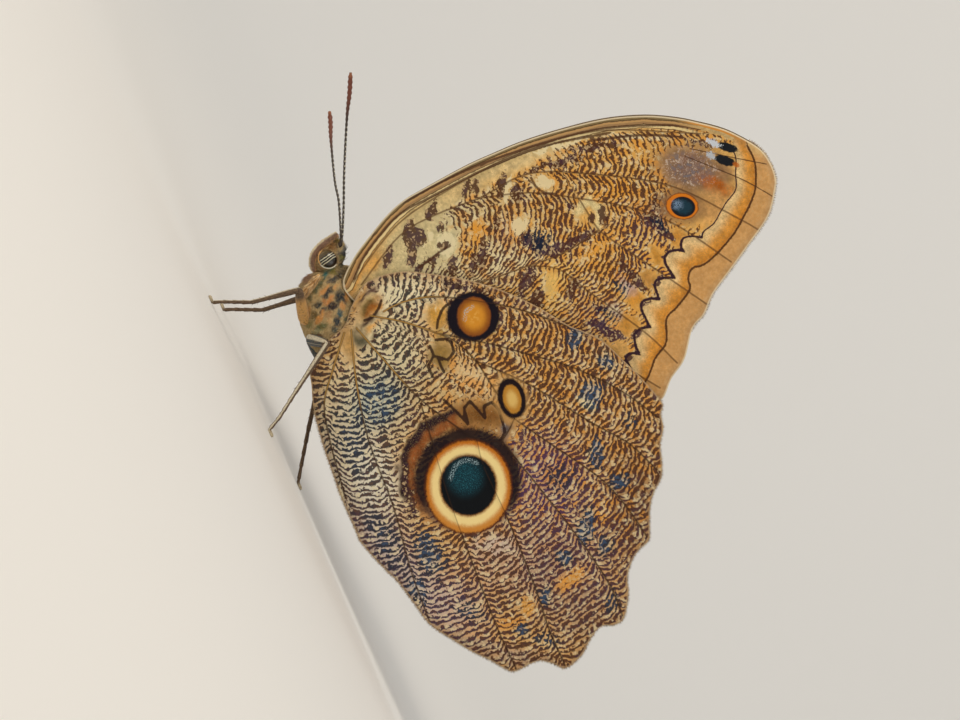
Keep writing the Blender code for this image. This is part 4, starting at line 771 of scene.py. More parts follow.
# Tan to slate with dark ripples, and a big eyespot of brown and cream rings with two small ones in front.
def hindwingScales():
    finish, tree = newFinish("hindwing scales")
    noise = scaleNoises(tree)
    colour, wave = scaleLayer(tree, noise)
    veinGap, margin, darkGap = axesOf(tree, "edges")
    pupil, ring, rim = axesOf(tree, "first")
    upper, upperRim, teal = axesOf(tree, "second")
    small, smallRim, smallHalo = axesOf(tree, "third")
    glint, _, base = axesOf(tree, "rays")
    spotX, spotZ, _ = axesOf(tree, "spot")
    jag = sumOf(tree, [(noise["grit"], 0.5), (noise["fine"], 0.5)])
    worn = ragged(tree, jag, (
        ("rim", rim, 0.2), ("ring", ring, 0.12), ("pupil", pupil, 0.12), ("upperRim", upperRim, 0.25),
        ("upper", upper, 0.2), ("smallRim", smallRim, 0.3), ("small", small, 0.3), ("halo", smallHalo, 0.5),
        ("dark", darkGap, 0.4)))
    # mm below the big eye's middle, down the chart
    low = sumOf(tree, [(spotX, 0.9155), (spotZ, -0.4024), (1.0, -32.0)])
    wingFinish(tree, layCoats(tree, colour, [
        ("#2c1a16", 0.9, (worn["dark"], 0.34, 0.16)),
        ("#3a2618", 0.6, (veinGap, 0.24, 0.08)),
        ("#3a2618", 0.5, (veinGap, 0.26, 0.14), (base, 0.2, 0.9)),
        ("#d2a558", 0.95, (veinGap, 0.14, 0.06), (base, 0.2, 0.9)),
        ("#1c1218", 0.96, (worn["rim"], 1.14, 0.98), (low, 7.5, 1.5)),
        ("#3c2a40", 0.6, (worn["rim"], 1.14, 0.98), (low, 1.5, 7.5)),
        ("#5a2c10", 0.9, (worn["ring"], 1.1, 1.03)),
        ("#c07222", 1.0, (worn["ring"], 1.05, 0.98)),
        ("#eed694", 1.0, (worn["ring"], 0.98, 0.84)),
        ("#c9883a", 0.85, (worn["ring"], 0.8, 0.95), (worn["ring"], 1.05, 0.98), (low, -2.0, 7.0)),
        ("#8a5526", 0.9, (worn["pupil"], 1.18, 1.05)),
        ("#0c1014", 1.0, (worn["pupil"], 1.1, 1.01)),
        ("#11343f", 0.9, (teal, 1.1, 0.4)),
        ("#2b7484", 0.6, (teal, 1.0, 0.3), (noise["grit"], 0.5, 0.64)),
        ("#15101a", 1.0, (worn["upperRim"], 1.12, 0.98)),
        ("#8a4f1c", 1.0, (worn["upper"], 1.12, 0.98)),
        ("#cf8c2c", 1.0, (worn["upper"], 1.0, 0.45)),
        ("#e2b25a", 0.5, (worn["upper"], 0.6, 0.1), (noise["fine"], 0.46, 0.58)),
        ("#c09458", 0.5, (worn["halo"], 1.2, 0.95)),
        ("#1c1216", 1.0, (worn["smallRim"], 1.14, 0.98)),
        ("#b57f30", 1.0, (worn["small"], 1.14, 0.96)),
        ("#d8b468", 1.0, (worn["small"], 0.9, 0.3)),
        ("#3a2618", 0.45, (veinGap, 0.14, 0.05)),
        ("#a9c4cc", 0.7, (glint, 0.55, 0.1), (noise["grit"], 0.48, 0.58)),
        ("#b89c78", 0.7, (margin, 0.3, 0.1)),
    ]), noise, wave)
    return finish


# The faces that lie against each other are brown with a blue bloom.
def uppersideScales(kind):
    dull, glow, edge = wing["uppersides"][kind]
    finish, tree = newFinish(kind + " upperside scales")
    noise = scaleNoises(tree)
    veinGap, margin, _ = axesOf(tree, "edges")
    phase, _, _ = axesOf(tree, "ripple")
    bloom = sumOf(tree, [(phase, 0.018), (noise["broad"], -0.8)])
    wingFinish(tree, layCoats(tree, dull, [
        (glow, 0.85, (bloom, 0.5, -0.15)), (edge, 1.0, (margin, 9.0, 2.0)),
        ("#8a6c4c", 0.25, (noise["grit"], 0.4, 0.7)), ("#2c1c12", 0.6, (veinGap, 0.3, 0.1)),
    ]), noise, noise["fine"])
    return finish


forewingRoot = fromChart((351, 284))[0]
forewingTornus = fromChart((661, 400))[0]
abdomen = {
    "spine": [(15.4, 15.2), (20.0, 13.9), (26.0, 12.2), (32.0, 10.4), (37.6, 9.0)],  # x and z in mm
    "radius": 3.1,
    "segments": 8,
    "groove": (0.07, 0.09),  # between segments: depth as a share of the radius, half width of a segment
    "bands": (2.85, 0.55),  # mm from one to the next, and how they slant
    "colours": ("#86694a", "#5c4634", "#c9ae84"),  # most of it, its bands, its underside
}


def abdomenRadius(share):
    swell = 0.82 + 0.18 * np.sin(math.pi * np.minimum(share / 0.5, 1.0) / 2)
    return abdomen["radius"] * swell * (1 - 0.62 * np.maximum(0.0, (share - 0.35) / 0.65) ** 1.7)


def forewingLateral(x, z):  # how far the forewing's middle lies from the butterfly's middle plane
    away = np.hypot(x - forewingRoot[0], z - forewingRoot[1])
    return 0.68 + 2.4 * np.exp(-((away / 11.0) ** 2))


def hindwingLateral(x, z):  # outside the forewing, in again below it, and bulging round the abdomen
    along = (forewingTornus - forewingRoot) / np.linalg.norm(forewingTornus - forewingRoot)
    below = (x - forewingRoot[0]) * along[1] - (z - forewingRoot[1]) * along[0]
    flat = forewingLateral(x, z) + 1.25 - 0.95 * smooth(below, 6.0, 26.0)
    path = curveThrough(abdomen["spine"], 1.0)
    away, share, _ = nearLine(np.column_stack((x, z)), path)
    radii = abdomenRadius(share)
    bulge = np.maximum(radii + 0.95 - flat, 0.0)
    return flat + bulge * np.exp(-((away / np.maximum(1.6 * radii, 3.4)) ** 2))


def turnedAbout(points, centre, angle):
    cos, sin = math.cos(angle), math.sin(angle)
    away, up = (points - centre).T
    return centre + np.column_stack((away * cos - up * sin, away * sin + up * cos))


def addWing(name, sheet, lateral, side, swing, finishes):
    flat = turnedAbout(sheet["flat"], forewingRoot, swing)
    margin, rise = sheet["fields"]["edges"][:, 1], sheet["fields"]["rays"][:, 1]
    full, rim = wing["thickness"] / 2, wing["rimThickness"] / 2
    half = rim + (full - rim) * smooth(margin, 0.0, wing["rimWidth"]) + rise
    middle = lateral(flat[:, 0], flat[:, 1])
    count = len(flat)
    points = np.vstack([np.column_stack((flat[:, 0], side * (middle + way * half), flat[:, 1]))
                        for way in (1, -1)])
    triangles = sheet["triangles"]
    used = {(int(t[i]), int(t[j])) for t in triangles for i, j in ((0, 1), (1, 2), (2, 0))}
    rimFaces = []
    for i, j in sorted(used):
        if (j, i) not in used:
            rimFaces += [(j, i, i + count), (j, i + count, j + count)]
    faces = [tuple(t) for t in triangles] + [tuple(t[::-1] + count) for t in triangles] + rimFaces
    if side > 0:
        faces = [tuple(reversed(f)) for f in faces]
    # The outside has the first finish, the inside the second
    look = np.concatenate((np.zeros(len(triangles)), np.ones(len(triangles)), np.zeros(len(rimFaces))))
    doubled = {key: np.vstack((values, values)) for key, values in sheet["fields"].items()}
    obj = addMesh(name, points, faces, finishes, doubled, look)
    return settle(obj, [name])


# Short scale hairs along a wing's margin, each a thin closed sliver.
def addFringe(name, sheet, lateral, side, swing, finish, node, keep):
    outline = turnedAbout(sheet["outline"], forewingRoot, swing)
    closed = np.vstack((outline, outline[:1]))
    lengths = np.linalg.norm(np.diff(closed, axis=0), axis=1)
    run = np.concatenate(([0.0], np.cumsum(lengths)))
    draw = np.random.default_rng(21)
    slivers, uvs, roots = [], [], []
    lows, size = outline.min(axis=0), np.ptp(outline, axis=0).max()
    for place in np.arange(0.0, run[-1], wing["fringeSpacing"]):
        share = place / run[-1]
        if not keep[0] < share < keep[1]:
            continue
        spot = np.array([np.interp(place, run, closed[:, k]) for k in (0, 1)])
        ahead = np.array([np.interp((place + 0.4) % run[-1], run, closed[:, k]) for k in (0, 1)])
        along = (ahead - spot) / max(np.linalg.norm(ahead - spot), 1e-6)
        out = np.array((along[1], -along[0]))
        if inside((spot + out * 0.2)[None], outline)[0]:
            out = -out
        lean = out + along * draw.normal(0, 0.25)
        reach = wing["fringeLength"] * draw.uniform(0.6, 1.15)
        y = side * (lateral(spot[:1], spot[1:])[0] + draw.uniform(-0.05, 0.05))
        base = spot - out * wing["fringeRoot"]
        tip = spot + lean * reach
        left, right = (base + along * way * wing["fringeHalfWidth"] for way in (-1, 1))
        slivers.append([(left[0], y - 0.03, left[1]), (right[0], y - 0.03, right[1]),
                        (base[0], y + 0.05, base[1]), (tip[0], y + draw.normal(0, 0.03), tip[1])])
        uvs.append((spot - lows) / size * 0.99)
        roots.append((share * 900.0, draw.uniform(), 0.0))  # its run along the margin, for the patches
    points = np.array(slivers).reshape(-1, 3)
    first = np.arange(len(slivers))[:, None] * 4
    faces = np.vstack([first + np.array(f) for f in ((0, 1, 3), (1, 2, 3), (2, 0, 3), (1, 0, 2))])
    obj = addMesh(name, points, faces, [finish], {"root": np.repeat(np.array(roots), 4, axis=0)})
    bakeMap(obj, np.repeat(np.array(uvs), 4, axis=0), 4)
    return settle(obj, [node])


def bakeMap(obj, rootPlaces, each):  # every tuft is a small patch at its root's place on the skin's unwrap
    corner = np.array([(0.0, 0.0), (0.003, 0.0), (0.0015, 0.003), (0.0015, 0.0015),
                       (0.001, 0.002), (0.002, 0.001), (0.003, 0.003)])
    places = rootPlaces + corner[np.arange(len(rootPlaces)) % each % len(corner)]
    layer = obj.data.uv_layers.new(name="OFBake")
    loops = np.empty(len(obj.data.loops), np.int32)
    obj.data.loops.foreach_get("vertex_index", loops)
    layer.data.foreach_set("uv", np.clip(places, 0.0, 1.0)[loops].astype(np.float32).ravel())


def fringeHair():  # pale satin scale hairs, brown where a vein ends
    finish, tree = newFinish("wing fringe")
    root, pick, _ = axesOf(tree, "root")
    patch = addNode(tree, "TexNoise", {"noise_dimensions": "1D"},
                    {"W": root, "Scale": 0.35, "Detail": 1.0})
    most, brown, pale = wing["fringeColours"]
    painted = layCoats(tree, most, [(brown, 0.85, (patch.outputs[0], 0.45, 0.58)),
                                    (pale, 0.6, (pick, 0.6, 1.0))])
    finishOf(tree, painted, {"Roughness": 0.7, "IOR": 1.56, "Specular IOR Level": 0.3})
    return finish


foreSheet, hindSheet = sheetOf(forewing), sheetOf(hindwing)
print("wing sheets", len(foreSheet["flat"]), len(hindSheet["flat"]))
foreFinishes = [forewingScales(), uppersideScales("forewing")]
hindFinishes = [hindwingScales(), uppersideScales("hindwing")]
fringeFinish = fringeHair()
for side, word, swing in ((-1, "left", 0.0), (1, "right", wing["farSwing"])):
    addWing("forewing_" + word, foreSheet, forewingLateral, side, swing, foreFinishes)
    addWing("hindwing_" + word, hindSheet, hindwingLateral, side, 0.0, hindFinishes)
    addFringe("forewing_fringe_" + word, foreSheet, forewingLateral, side, swing, fringeFinish,
              "forewing_" + word, (0.42, 0.62))
    addFringe("hindwing_fringe_" + word, hindSheet, hindwingLateral, side, 0.0, fringeFinish,
              "hindwing_" + word, (0.28, 0.88))
print("wings and fringes")

body = {  # mm; centres and half sizes of rounded parts
    "coatDepth": 0.4,  # how far the skin lies inside the solids
    "voxel": 0.24,
    "line": [(-0.4, 20.9), (2.0, 20.0), (6.0, 18.2), (10.4, 16.6), (15.4, 15.2), (20.0, 13.9), (26.0, 12.2),
             (32.0, 10.4), (38.5, 8.7)],  # from the face to the tail, as x and z
    "headCentre": (2.0, 0.0, 20.5),
    "headAxes": (2.3, 2.1, 3.0),
    "headTilt": math.radians(-20.0),
    "fronsCentre": (0.6, 0.0, 21.8),
    "fronsAxes": (1.2, 1.3, 1.3),
    "collarCentre": (4.9, 0.0, 20.6),
    "collarAxes": (1.8, 2.1, 2.05),
    "markings": ("#cdb280", [  # fur colours as ovals on the wing chart, the same on both sides
        (311, 275, 9, 5, -60, 1.0, "#a97c62"), (334, 243, 8, 6, -50, 1.0, "#a1743f"),
        (338, 240, 3, 4, -50, 0.8, "#84783c"), (345, 256, 7, 6, 0, 1.0, "#3f4a58"),
        (320, 249, 4, 4, 0, 0.9, "#8a5636"), (324, 268, 8, 3, 10, 0.6, "#a8804e"),
        (343, 258, 4, 3, 0, 0.9, "#a8a24c"), (350, 255, 5, 4, 0, 0.8, "#42504c"),
        (333, 272, 4, 3, 0, 0.9, "#a39c4a"), (329, 270, 5, 2.2, -20, 0.9, "#b4c096"),
        (342.8, 266, 5, 3, -40, 0.9, "#3a443c"), (350, 282, 6, 5, -50, 0.9, "#4b4454"),
        # The three teal ovals among these are painted glints on the hair
        (338.5, 277, 7, 2.6, -50, 0.9, "#474a4c"), (325.2, 276.3, 2.6, 3.2, 0, 1.0, "#2f8484"),
        (328.3, 293, 6.8, 3.0, -45, 1.0, "#30363f"), (341.3, 298.5, 5.4, 7, -20, 1.0, "#2a3841"),
        (318.7, 305.3, 4.2, 3.0, -20, 1.0, "#2c3c42"), (332.9, 306.5, 5, 4, -10, 1.0, "#322c36"),
        (345.1, 336, 7.6, 3.0, -76, 1.0, "#3c4448"), (340.6, 313.5, 2.8, 4, 0, 1.0, "#226474"),
        (349.7, 320, 4, 3.2, 0, 1.0, "#1f5652"), (331, 281, 4, 2.4, -40, 1.0, "#3a4650"),
        (322.5, 283, 4, 2, -55, 0.9, "#5d6a4c"), (317, 290, 5, 2.2, -55, 0.9, "#5f6c50"),
        (336, 287, 3.4, 1.6, -45, 1.0, "#e8b878"), (311, 299, 4, 2.2, -70, 0.9, "#6a6848"),
        (309, 311, 5, 2.2, -80, 0.9, "#d8a464"), (324, 311, 3.4, 2.4, -50, 1.0, "#38424c"),
        (338, 322, 3, 5, -20, 1.0, "#36424c"), (330, 322, 3.6, 1.8, -60, 1.0, "#e8c48c"),
        (310, 324, 4.6, 3, -70, 0.9, "#8c8450"), (313, 334, 4, 2.2, 0, 0.9, "#e0c088"),
        (343, 306, 2.4, 4, -10, 1.0, "#e8b06c"), (325.4, 290.5, 6.5, 2.0, -47, 1.0, "#e6aa68"),
        (330.4, 300.6, 5.5, 2.3, -55, 1.0, "#e09c5c"), (347.2, 296.5, 2.6, 5, 0, 0.9, "#d8974c"),
        (325, 302, 2, 3, 0, 0.8, "#cb8a50"), (315.3, 316, 4.4, 4.6, -50, 0.9, "#65542e"),
        (320.6, 318.5, 8, 2.5, -58, 1.0, "#dea05a"), (329.5, 315, 4.5, 3.2, -30, 0.8, "#c89a68"),
        (322.5, 327, 6.4, 3.0, -20, 0.9, "#6c7448"), (316.5, 332, 5, 3, 0, 0.9, "#c4bc8e"),
        (317.5, 336.5, 5, 2.2, 0, 0.9, "#7e5c50"), (335, 330, 3, 3.4, 0, 0.9, "#4a5a58"),
        (348, 331, 3.4, 5, -60, 0.9, "#c69160"), (310, 342, 8, 3.2, 10, 0.95, "#1f3238"),
        (338, 340, 4, 6, -70, 0.7, "#c99a5c"),
    ]),
    "markingGrowth": (1.12, 1.18),  # the fur's soft edges eat into them, so they are drawn larger
    "hairs": ("#f0deb0", "#3c3626", "#c2944e", "#2c2418"),  # pale, dark and golden ones, and the painted shade at their roots
    "thoraxFront": (3.5, 19.3),
    "thoraxSlope": math.radians(-21.0),
    "thoraxLength": 14.8,
    "thoraxHalfHeight": 5.5,
    "thoraxHalfWidth": 4.3,
    "thoraxProfile": [  # share of the length, half height, half width
        (0.0, 0.0, 0.0), (0.01, 0.36, 0.34), (0.045, 0.6, 0.56), (0.12, 0.79, 0.76), (0.22, 0.91, 0.9),
        (0.34, 0.98, 0.98), (0.46, 1.0, 1.0), (0.6, 0.96, 0.97), (0.74, 0.85, 0.87), (0.86, 0.69, 0.72),
        (0.95, 0.5, 0.52), (0.99, 0.28, 0.3), (1.0, 0.0, 0.0)],
}


def faceOut(points, faces):  # turns the faces outward if they look in
    volume = sum(np.dot(points[f[0]], np.cross(points[f[k]], points[f[k + 1]]))
                 for f in faces for k in range(1, len(f) - 1))
    return faces if volume > 0 else [tuple(reversed(f)) for f in faces]


def ringSkin(rings):  # closed skin over rings of points
    sides = len(rings[0])
    points = np.vstack(rings)
    faces = [(r * sides + k, r * sides + (k + 1) % sides, (r + 1) * sides + (k + 1) % sides,
              (r + 1) * sides + k) for r in range(len(rings) - 1) for k in range(sides)]
    faces.append(tuple(range(sides))[::-1])
    faces.append(tuple(range((len(rings) - 1) * sides, len(rings) * sides)))
    return points, faceOut(points, faces)


def tiltedBall(centre, axes, tilt, rings=28, sides=44):
    cos, sin = math.cos(tilt), math.sin(tilt)
    rows = []
    for polar in np.linspace(0.04, math.pi - 0.04, rings):
        turn = np.arange(sides) * math.tau / sides
        x, y = axes[0] * math.sin(polar) * np.cos(turn), axes[1] * math.sin(polar) * np.sin(turn)
        z = np.full(sides, axes[2] * math.cos(polar))
        rows.append(np.column_stack(
            (centre[0] + x * cos + z * sin, centre[1] + y, centre[2] - x * sin + z * cos)))
    return ringSkin(rows)


def thoraxSkin(shrink, sides=40, rows=36):
    cos, sin = math.cos(body["thoraxSlope"]), math.sin(body["thoraxSlope"])
    shares, highs, wides = zip(*body["thoraxProfile"])
    startX, startZ = body["thoraxFront"]
    rings = []
    for share in 0.5 - 0.5 * np.cos(np.linspace(0.12, math.pi - 0.12, rows)):
        reach = 0.5 * body["thoraxLength"] + (share - 0.5) * (body["thoraxLength"] - 2 * shrink)
        high = max(np.interp(share, shares, highs) * body["thoraxHalfHeight"] - shrink, 0.2)
        wide = max(np.interp(share, shares, wides) * body["thoraxHalfWidth"] - shrink, 0.2)
        turn = np.arange(sides) * math.tau / sides
        rise = np.sin(turn) * high
        rings.append(np.column_stack((startX + reach * cos - sin * rise, np.cos(turn) * wide,
                                      startZ + reach * sin + cos * rise)))
    return ringSkin(rings)


def abdomenSkin(shrink, sides=36):  # grooved between its segments, and rounded off at the tail
    path = curveThrough(abdomen["spine"], 0.3)
    deep, wide = abdomen["groove"]
    along = np.gradient(path, axis=0)
    along /= np.linalg.norm(along, axis=1)[:, None]
    rings = []
    for i, (x, z) in enumerate(path):
        share = i / (len(path) - 1)
        groove = 1 - deep * math.exp(-((((share * abdomen["segments"] + 0.5) % 1 - 0.5) / wide) ** 2))
        tipped = math.sqrt(max(0.06, 1 - smooth(share, 0.93, 1.0) * 0.9))
        radius = (abdomenRadius(share) - shrink) * groove * tipped
        turn = np.arange(sides) * math.tau / sides
        rings.append(np.column_stack((x - along[i, 1] * np.sin(turn) * radius, np.cos(turn) * radius,
                                      z + along[i, 0] * np.sin(turn) * radius)))
    return ringSkin(rings)


def joined(shapes):  # one mesh of several closed shapes
    faces, start = [], 0
    for points, its, *_ in shapes:
        faces += [tuple(i + start for i in f) for f in its]
        start += len(points)
    return np.vstack([shape[0] for shape in shapes]), faces


def buildSkin(finish):  # head, thorax and abdomen melted into one skin
    deep = body["coatDepth"]
    parts = [tiltedBall(body[f"{part}Centre"], [a - deep for a in body[f"{part}Axes"]], body["headTilt"])
             for part in ("head", "frons", "collar")] + [thoraxSkin(deep), abdomenSkin(deep * 0.6)]
    points, faces = joined(parts)
    obj = addMesh("body_skin", points, faces, [finish])
    melt = {"mode": "VOXEL", "voxel_size": body["voxel"] * 0.001, "use_smooth_shade": True}
    for kind, settings in (("REMESH", melt), ("SMOOTH", {"factor": 0.5, "iterations": 4})):
        modifier = obj.modifiers.new(kind.lower(), kind)
        for key, value in settings.items():
            setattr(modifier, key, value)
    bpy.context.view_layer.update()
    mesh = bpy.data.meshes.new_from_object(obj.evaluated_get(bpy.context.evaluated_depsgraph_get()))
    obj.modifiers.clear()
    obj.data = mesh
    mesh.shade_smooth()
    return obj


def localPlaces(mesh):  # vertex places back in mm from the foot
    places = np.empty(len(mesh.vertices) * 3)
    mesh.vertices.foreach_get("co", places)
    places = places.reshape(-1, 3) * 1000
    places[:, 0] += layout["middleX"]
    return places


def unwrapPlace(roots):  # share along the body and turn about it
    axis = np.array(body["line"])
    _, share, _ = nearLine(roots[:, [0, 2]], axis)
    centre = np.column_stack([np.interp(share, np.linspace(0, 1, len(axis)), axis[:, k]) for k in (0, 1)])
    turn = np.arctan2(roots[:, 2] - centre[:, 1], roots[:, 1]) / math.tau + 0.5
    return np.column_stack((share * 0.98, turn * 0.98))


# Tufts, each a bent three-sided lock that tapers to its tip. Lies are where they point, lift their slant.
def addTufts(name, roots, normals, lies, lengths, widths, lift, finish, nodes, colours=None):
    count = len(roots)
    lies = lies - normals * np.sum(lies * normals, axis=1)[:, None]
    lies /= np.linalg.norm(lies, axis=1)[:, None] + 1e-9
    aside = np.cross(normals, lies)
    rings = []
    for share, thick in ((-0.12, 1.0), (0.5, 0.8)):
        bend = lift[:, None] * (1 - 0.35 * share)
        centre = roots + (lies * np.cos(bend) + normals * np.sin(bend)) * (lengths * share)[:, None]
        for turn in (0.0, math.tau / 3, 2 * math.tau / 3):
            offset = aside * math.cos(turn) + normals * math.sin(turn) * 0.6
            rings.append(centre + offset * (widths * thick)[:, None])
    bend = lift[:, None] * 0.6
    tip = roots + (lies * np.cos(bend) + normals * np.sin(bend)) * lengths[:, None]
    points = np.stack(rings + [tip], axis=1).reshape(-1, 3)
    pattern = [(0, 1, 4, 3), (1, 2, 5, 4), (2, 0, 3, 5), (3, 4, 6), (4, 5, 6), (5, 3, 6), (0, 2, 1)]
    faces = [tuple(start + i for i in f) for start in range(0, 7 * count, 7) for f in pattern]
    jitter = np.repeat(rng.uniform(0, 1, count), 7)
    along = np.tile([0, 0, 0, 0.5, 0.5, 0.5, 1.0], count)
    fields = {"root": np.repeat(roots, 7, axis=0), "lock": np.column_stack((along, jitter, jitter * 0))}
    if colours is not None:
        fields["coat"] = np.repeat(colours, 7, axis=0)
    obj = addMesh(name, points, faces, [finish], fields)
    bakeMap(obj, np.repeat(unwrapPlace(roots), 7, axis=0), 7)
    return settle(obj, nodes)


def scatter(mesh, count, keep):  # random places on a mesh, spread by area
    places = localPlaces(mesh)
    mesh.calc_loop_triangles()
    corners = np.empty(len(mesh.loop_triangles) * 3, np.int32)
    mesh.loop_triangles.foreach_get("vertices", corners)
    corners = corners.reshape(-1, 3)
    a, b, c = (places[corners[:, k]] for k in range(3))
    normal = np.cross(b - a, c - a)
    area = np.linalg.norm(normal, axis=1)
    weight = area * keep((a + b + c) / 3)
    chosen = rng.choice(len(corners), count, p=weight / weight.sum())
    s, t = rng.uniform(0, 1, (2, count))
    s, t = np.where(s + t > 1, 1 - s, s), np.where(s + t > 1, 1 - t, t)
    spots = a[chosen] + (b - a)[chosen] * s[:, None] + (c - a)[chosen] * t[:, None]
    return spots, normal[chosen] / (area[chosen][:, None] + 1e-9)


def coatColours(roots):  # the markings at places on the body; the abdomen is banded and pale below
    spots = toChart(roots[:, [0, 2]])
    bent = spots + np.column_stack((wander(spots, 4, 7), wander(spots, 4, 8)))
    ground, ovals = body["markings"]
    longer, wider = body["markingGrowth"]
    grown = [(u, v, long * longer, short * wider, *rest) for u, v, long, short, *rest in ovals]
    colours = washes(bent, ground, grown, sharp=6)
    tail = smooth(roots[:, 0], 15.5, 19.0)
    along = np.array(abdomen["spine"])
    height = roots[:, 2] - np.interp(roots[:, 0], along[:, 0], along[:, 1])
    pitch, slant = abdomen["bands"]
    rings = smooth(np.sin(roots[:, 0] * math.tau / pitch - roots[:, 2] * slant), 0.2, 0.8)
    most, band, under = abdomen["colours"]
    colours = towards(towards(colours, most, tail), band, tail * rings * 0.5)
    return towards(colours, under, tail * smooth(height, 0.6, -1.2) * 0.85)


# Short fur and flat hair scales, soft and dull: olive-tan with slate-blue blotches and orange streaks.
def bodyCoat(name):
    finish, tree = newFinish(name)
    root = addNode(tree, "Attribute", {"attribute_name": "root"}).outputs["Vector"]
    coat = addNode(tree, "Attribute", {"attribute_name": "coat"}).outputs["Color"]
    along, pick, _ = axesOf(tree, "lock")
    grit = addNode(tree, "TexNoise", {}, {"Vector": root, "Scale": 2.4, "Detail": 2.0})
    pale, dark, golden, paintedRootShade = body["hairs"]
    # Each lock darkens towards its root: painted shade between the hairs
    painted = layCoats(tree, coat, [
        (pale, 0.3, (pick, 0.6, 1.0)), (dark, 0.25, (pick, 0.2, 0.0)),
        (golden, 0.22, (grit.outputs[0], 0.52, 0.6)), (paintedRootShade, 0.15, (along, 0.5, 0.0))])
    finishOf(tree, painted, dullChitin | {"Sheen Weight": 0.08}, [(grit.outputs[0], 1.0)])
    return finish


furFinish = bodyCoat("short body fur")
skin = buildSkin(bodyCoat("skin under the fur"))
places = localPlaces(skin.data)
fields = {"root": places, "lock": np.tile((0.35, 0.4, 0.0), (len(places), 1)), "coat": coatColours(places)}
for key, values in fields.items():
    kind, part = ("FLOAT_COLOR", "color") if key == "coat" else ("FLOAT_VECTOR", "vector")
    skin.data.attributes.new(key, kind, "POINT").data.foreach_set(part, values.astype(np.float32).ravel())
settle(skin, ["head", "thorax", "abdomen"])
print("body skin", len(skin.data.polygons))

# Each coat: node, number of tufts, their length and half width in mm, lift, where they point and grow
fur = {
    "head_fur": ("head", 7000, 0.7, 0.05, 0.45, (0.5, 0.0, 0.8), lambda x, z: x < 4.6),
    "crown_fur": ("head", 900, 1.7, 0.06, 0.25, (-0.64, 0.0, 0.77), lambda x, z: (x < 2.4) & (z > 22.2)),
    "throat_fur": ("head", 2600, 1.7, 0.06, 0.3, (-0.2, 0.0, -0.97),
                   lambda x, z: (x < 5.2) & (z < 18.9) & (x + z < 22.6)),
    "nape_fur": ("thorax", 1400, 1.7, 0.06, 0.55, (1.0, 0.0, 0.3),
                 lambda x, z: (x > 3.2) & (x < 7.6) & (z > 20.6)),
    "thorax_fur": ("thorax", 18000, 0.5, 0.055, 0.3, (0.65, 0.0, -0.76),
                   lambda x, z: (x >= 3.8) & (x < 17.5)),
    "abdomen_fur": ("abdomen", 6000, 0.8, 0.07, 0.2, (1.0, 0.0, -0.38), lambda x, z: x >= 16.5),
}


def growFur():
    for name, (node, count, length, width, lift, aim, where) in fur.items():
        spots, normals = scatter(skin.data, count, lambda p: where(p[:, 0], p[:, 2]) * 1.0)
        lie = np.tile(aim, (count, 1))
        if name == "thorax_fur":  # the hair on the back points to the tail
            lie = np.where(normals[:, 2:] > 0.45, fur["abdomen_fur"][5], lie)
        lie = lie + rng.normal(0, 0.2, (count, 3))
        addTufts(name, spots, normals, lie, length * rng.uniform(0.65, 1.2, count),
                 width * rng.uniform(0.8, 1.25, count), lift * rng.uniform(0.5, 1.5, count),
                 furFinish, [node], coatColours(spots + lie * (0.4 * length)))


growFur()
print("body fur")

eye = {  # mm
    "centre": (2.0, 1.72, 20.15), "axes": (1.62, 1.15, 1.42), "tilt": math.radians(-25.0),
    "stripePitch": 0.42, "across": (1.574, -0.337),  # mm across the stripes, for the lens's x and z
    "front": (1.217, 0.938, 1.54),  # the way to the face, seen from the side, and its length
    "rimPoints": 72, "rimSides": 10,
    "lens": ("#4a3a18", "#6d5424", "#14110e", "#c6c0a2", "#2a1e14"),  # olive, top, dark, stripes, lowest
    "rim": ("#705026", "#d9a662", "#e6e0c8"),  # behind, in front, below
}


# Smooth horny lens with a soft gloss: olive-brown above, with slanted black and white stripes below.
# Its facets are 0.03 mm apart, drawn at about 0.09 mm so that they show.
def eyeLens():
    finish, tree = newFinish("compound eye")
    x, _, z = axesOf(tree, "ball")
    place = addNode(tree, "Attribute", {"attribute_name": "ball"}).outputs["Vector"]
    uneven = addNode(tree, "TexNoise", {}, {"Vector": place, "Scale": 1.6, "Detail": 1.0})
    acrossX, acrossZ = eye["across"]
    slant = sumOf(tree, [(x, acrossX), (z, acrossZ), (uneven.outputs[0], 0.25)])
    stripe = addNode(tree, "Math", {"operation": "SINE"},
                     {0: sumOf(tree, [(slant, math.tau / eye["stripePitch"])])})
    cells = addNode(tree, "TexVoronoi", {"feature": "DISTANCE_TO_EDGE"},
                    {"Vector": place, "Scale": 16.0})
    olive, top, dark, pale, lowest = eye["lens"]
    painted = layCoats(tree, olive, [
        (top, 0.7, (slant, -0.9, -1.3)), (dark, 0.95, (slant, -0.75, -0.4)),
        (pale, 0.9, (slant, -0.55, -0.35), (slant, 0.92, 0.74), (stripe, 0.15, 0.7)),
        (lowest, 0.9, (slant, 1.05, 1.2))])
    gloss = {"Roughness": 0.25, "IOR": 1.5, "Coat Weight": 0.35, "Coat Roughness": 0.12}
    finishOf(tree, painted, gloss, [(cells.outputs[0], 1.0)], 0.15, 0.03)
    return finish


softScales = {"Roughness": 0.75, "Sheen Weight": 0.2}


def rimScales():  # dull scales: white below the lens, orange-cream in front of it, brown behind and above
    finish, tree = newFinish("pale scales round the eye")
    below, front, _ = axesOf(tree, "rim")
    brown, orange, white = eye["rim"]
    painted = layCoats(tree, brown, [(orange, 0.9, (front, 0.45, 0.75)), (white, 1.0, (below, 0.4, 0.75))])
    finishOf(tree, painted, softScales | {"Roughness": 0.7})
    return finish


lensFinish, rimFinish = eyeLens(), rimScales()


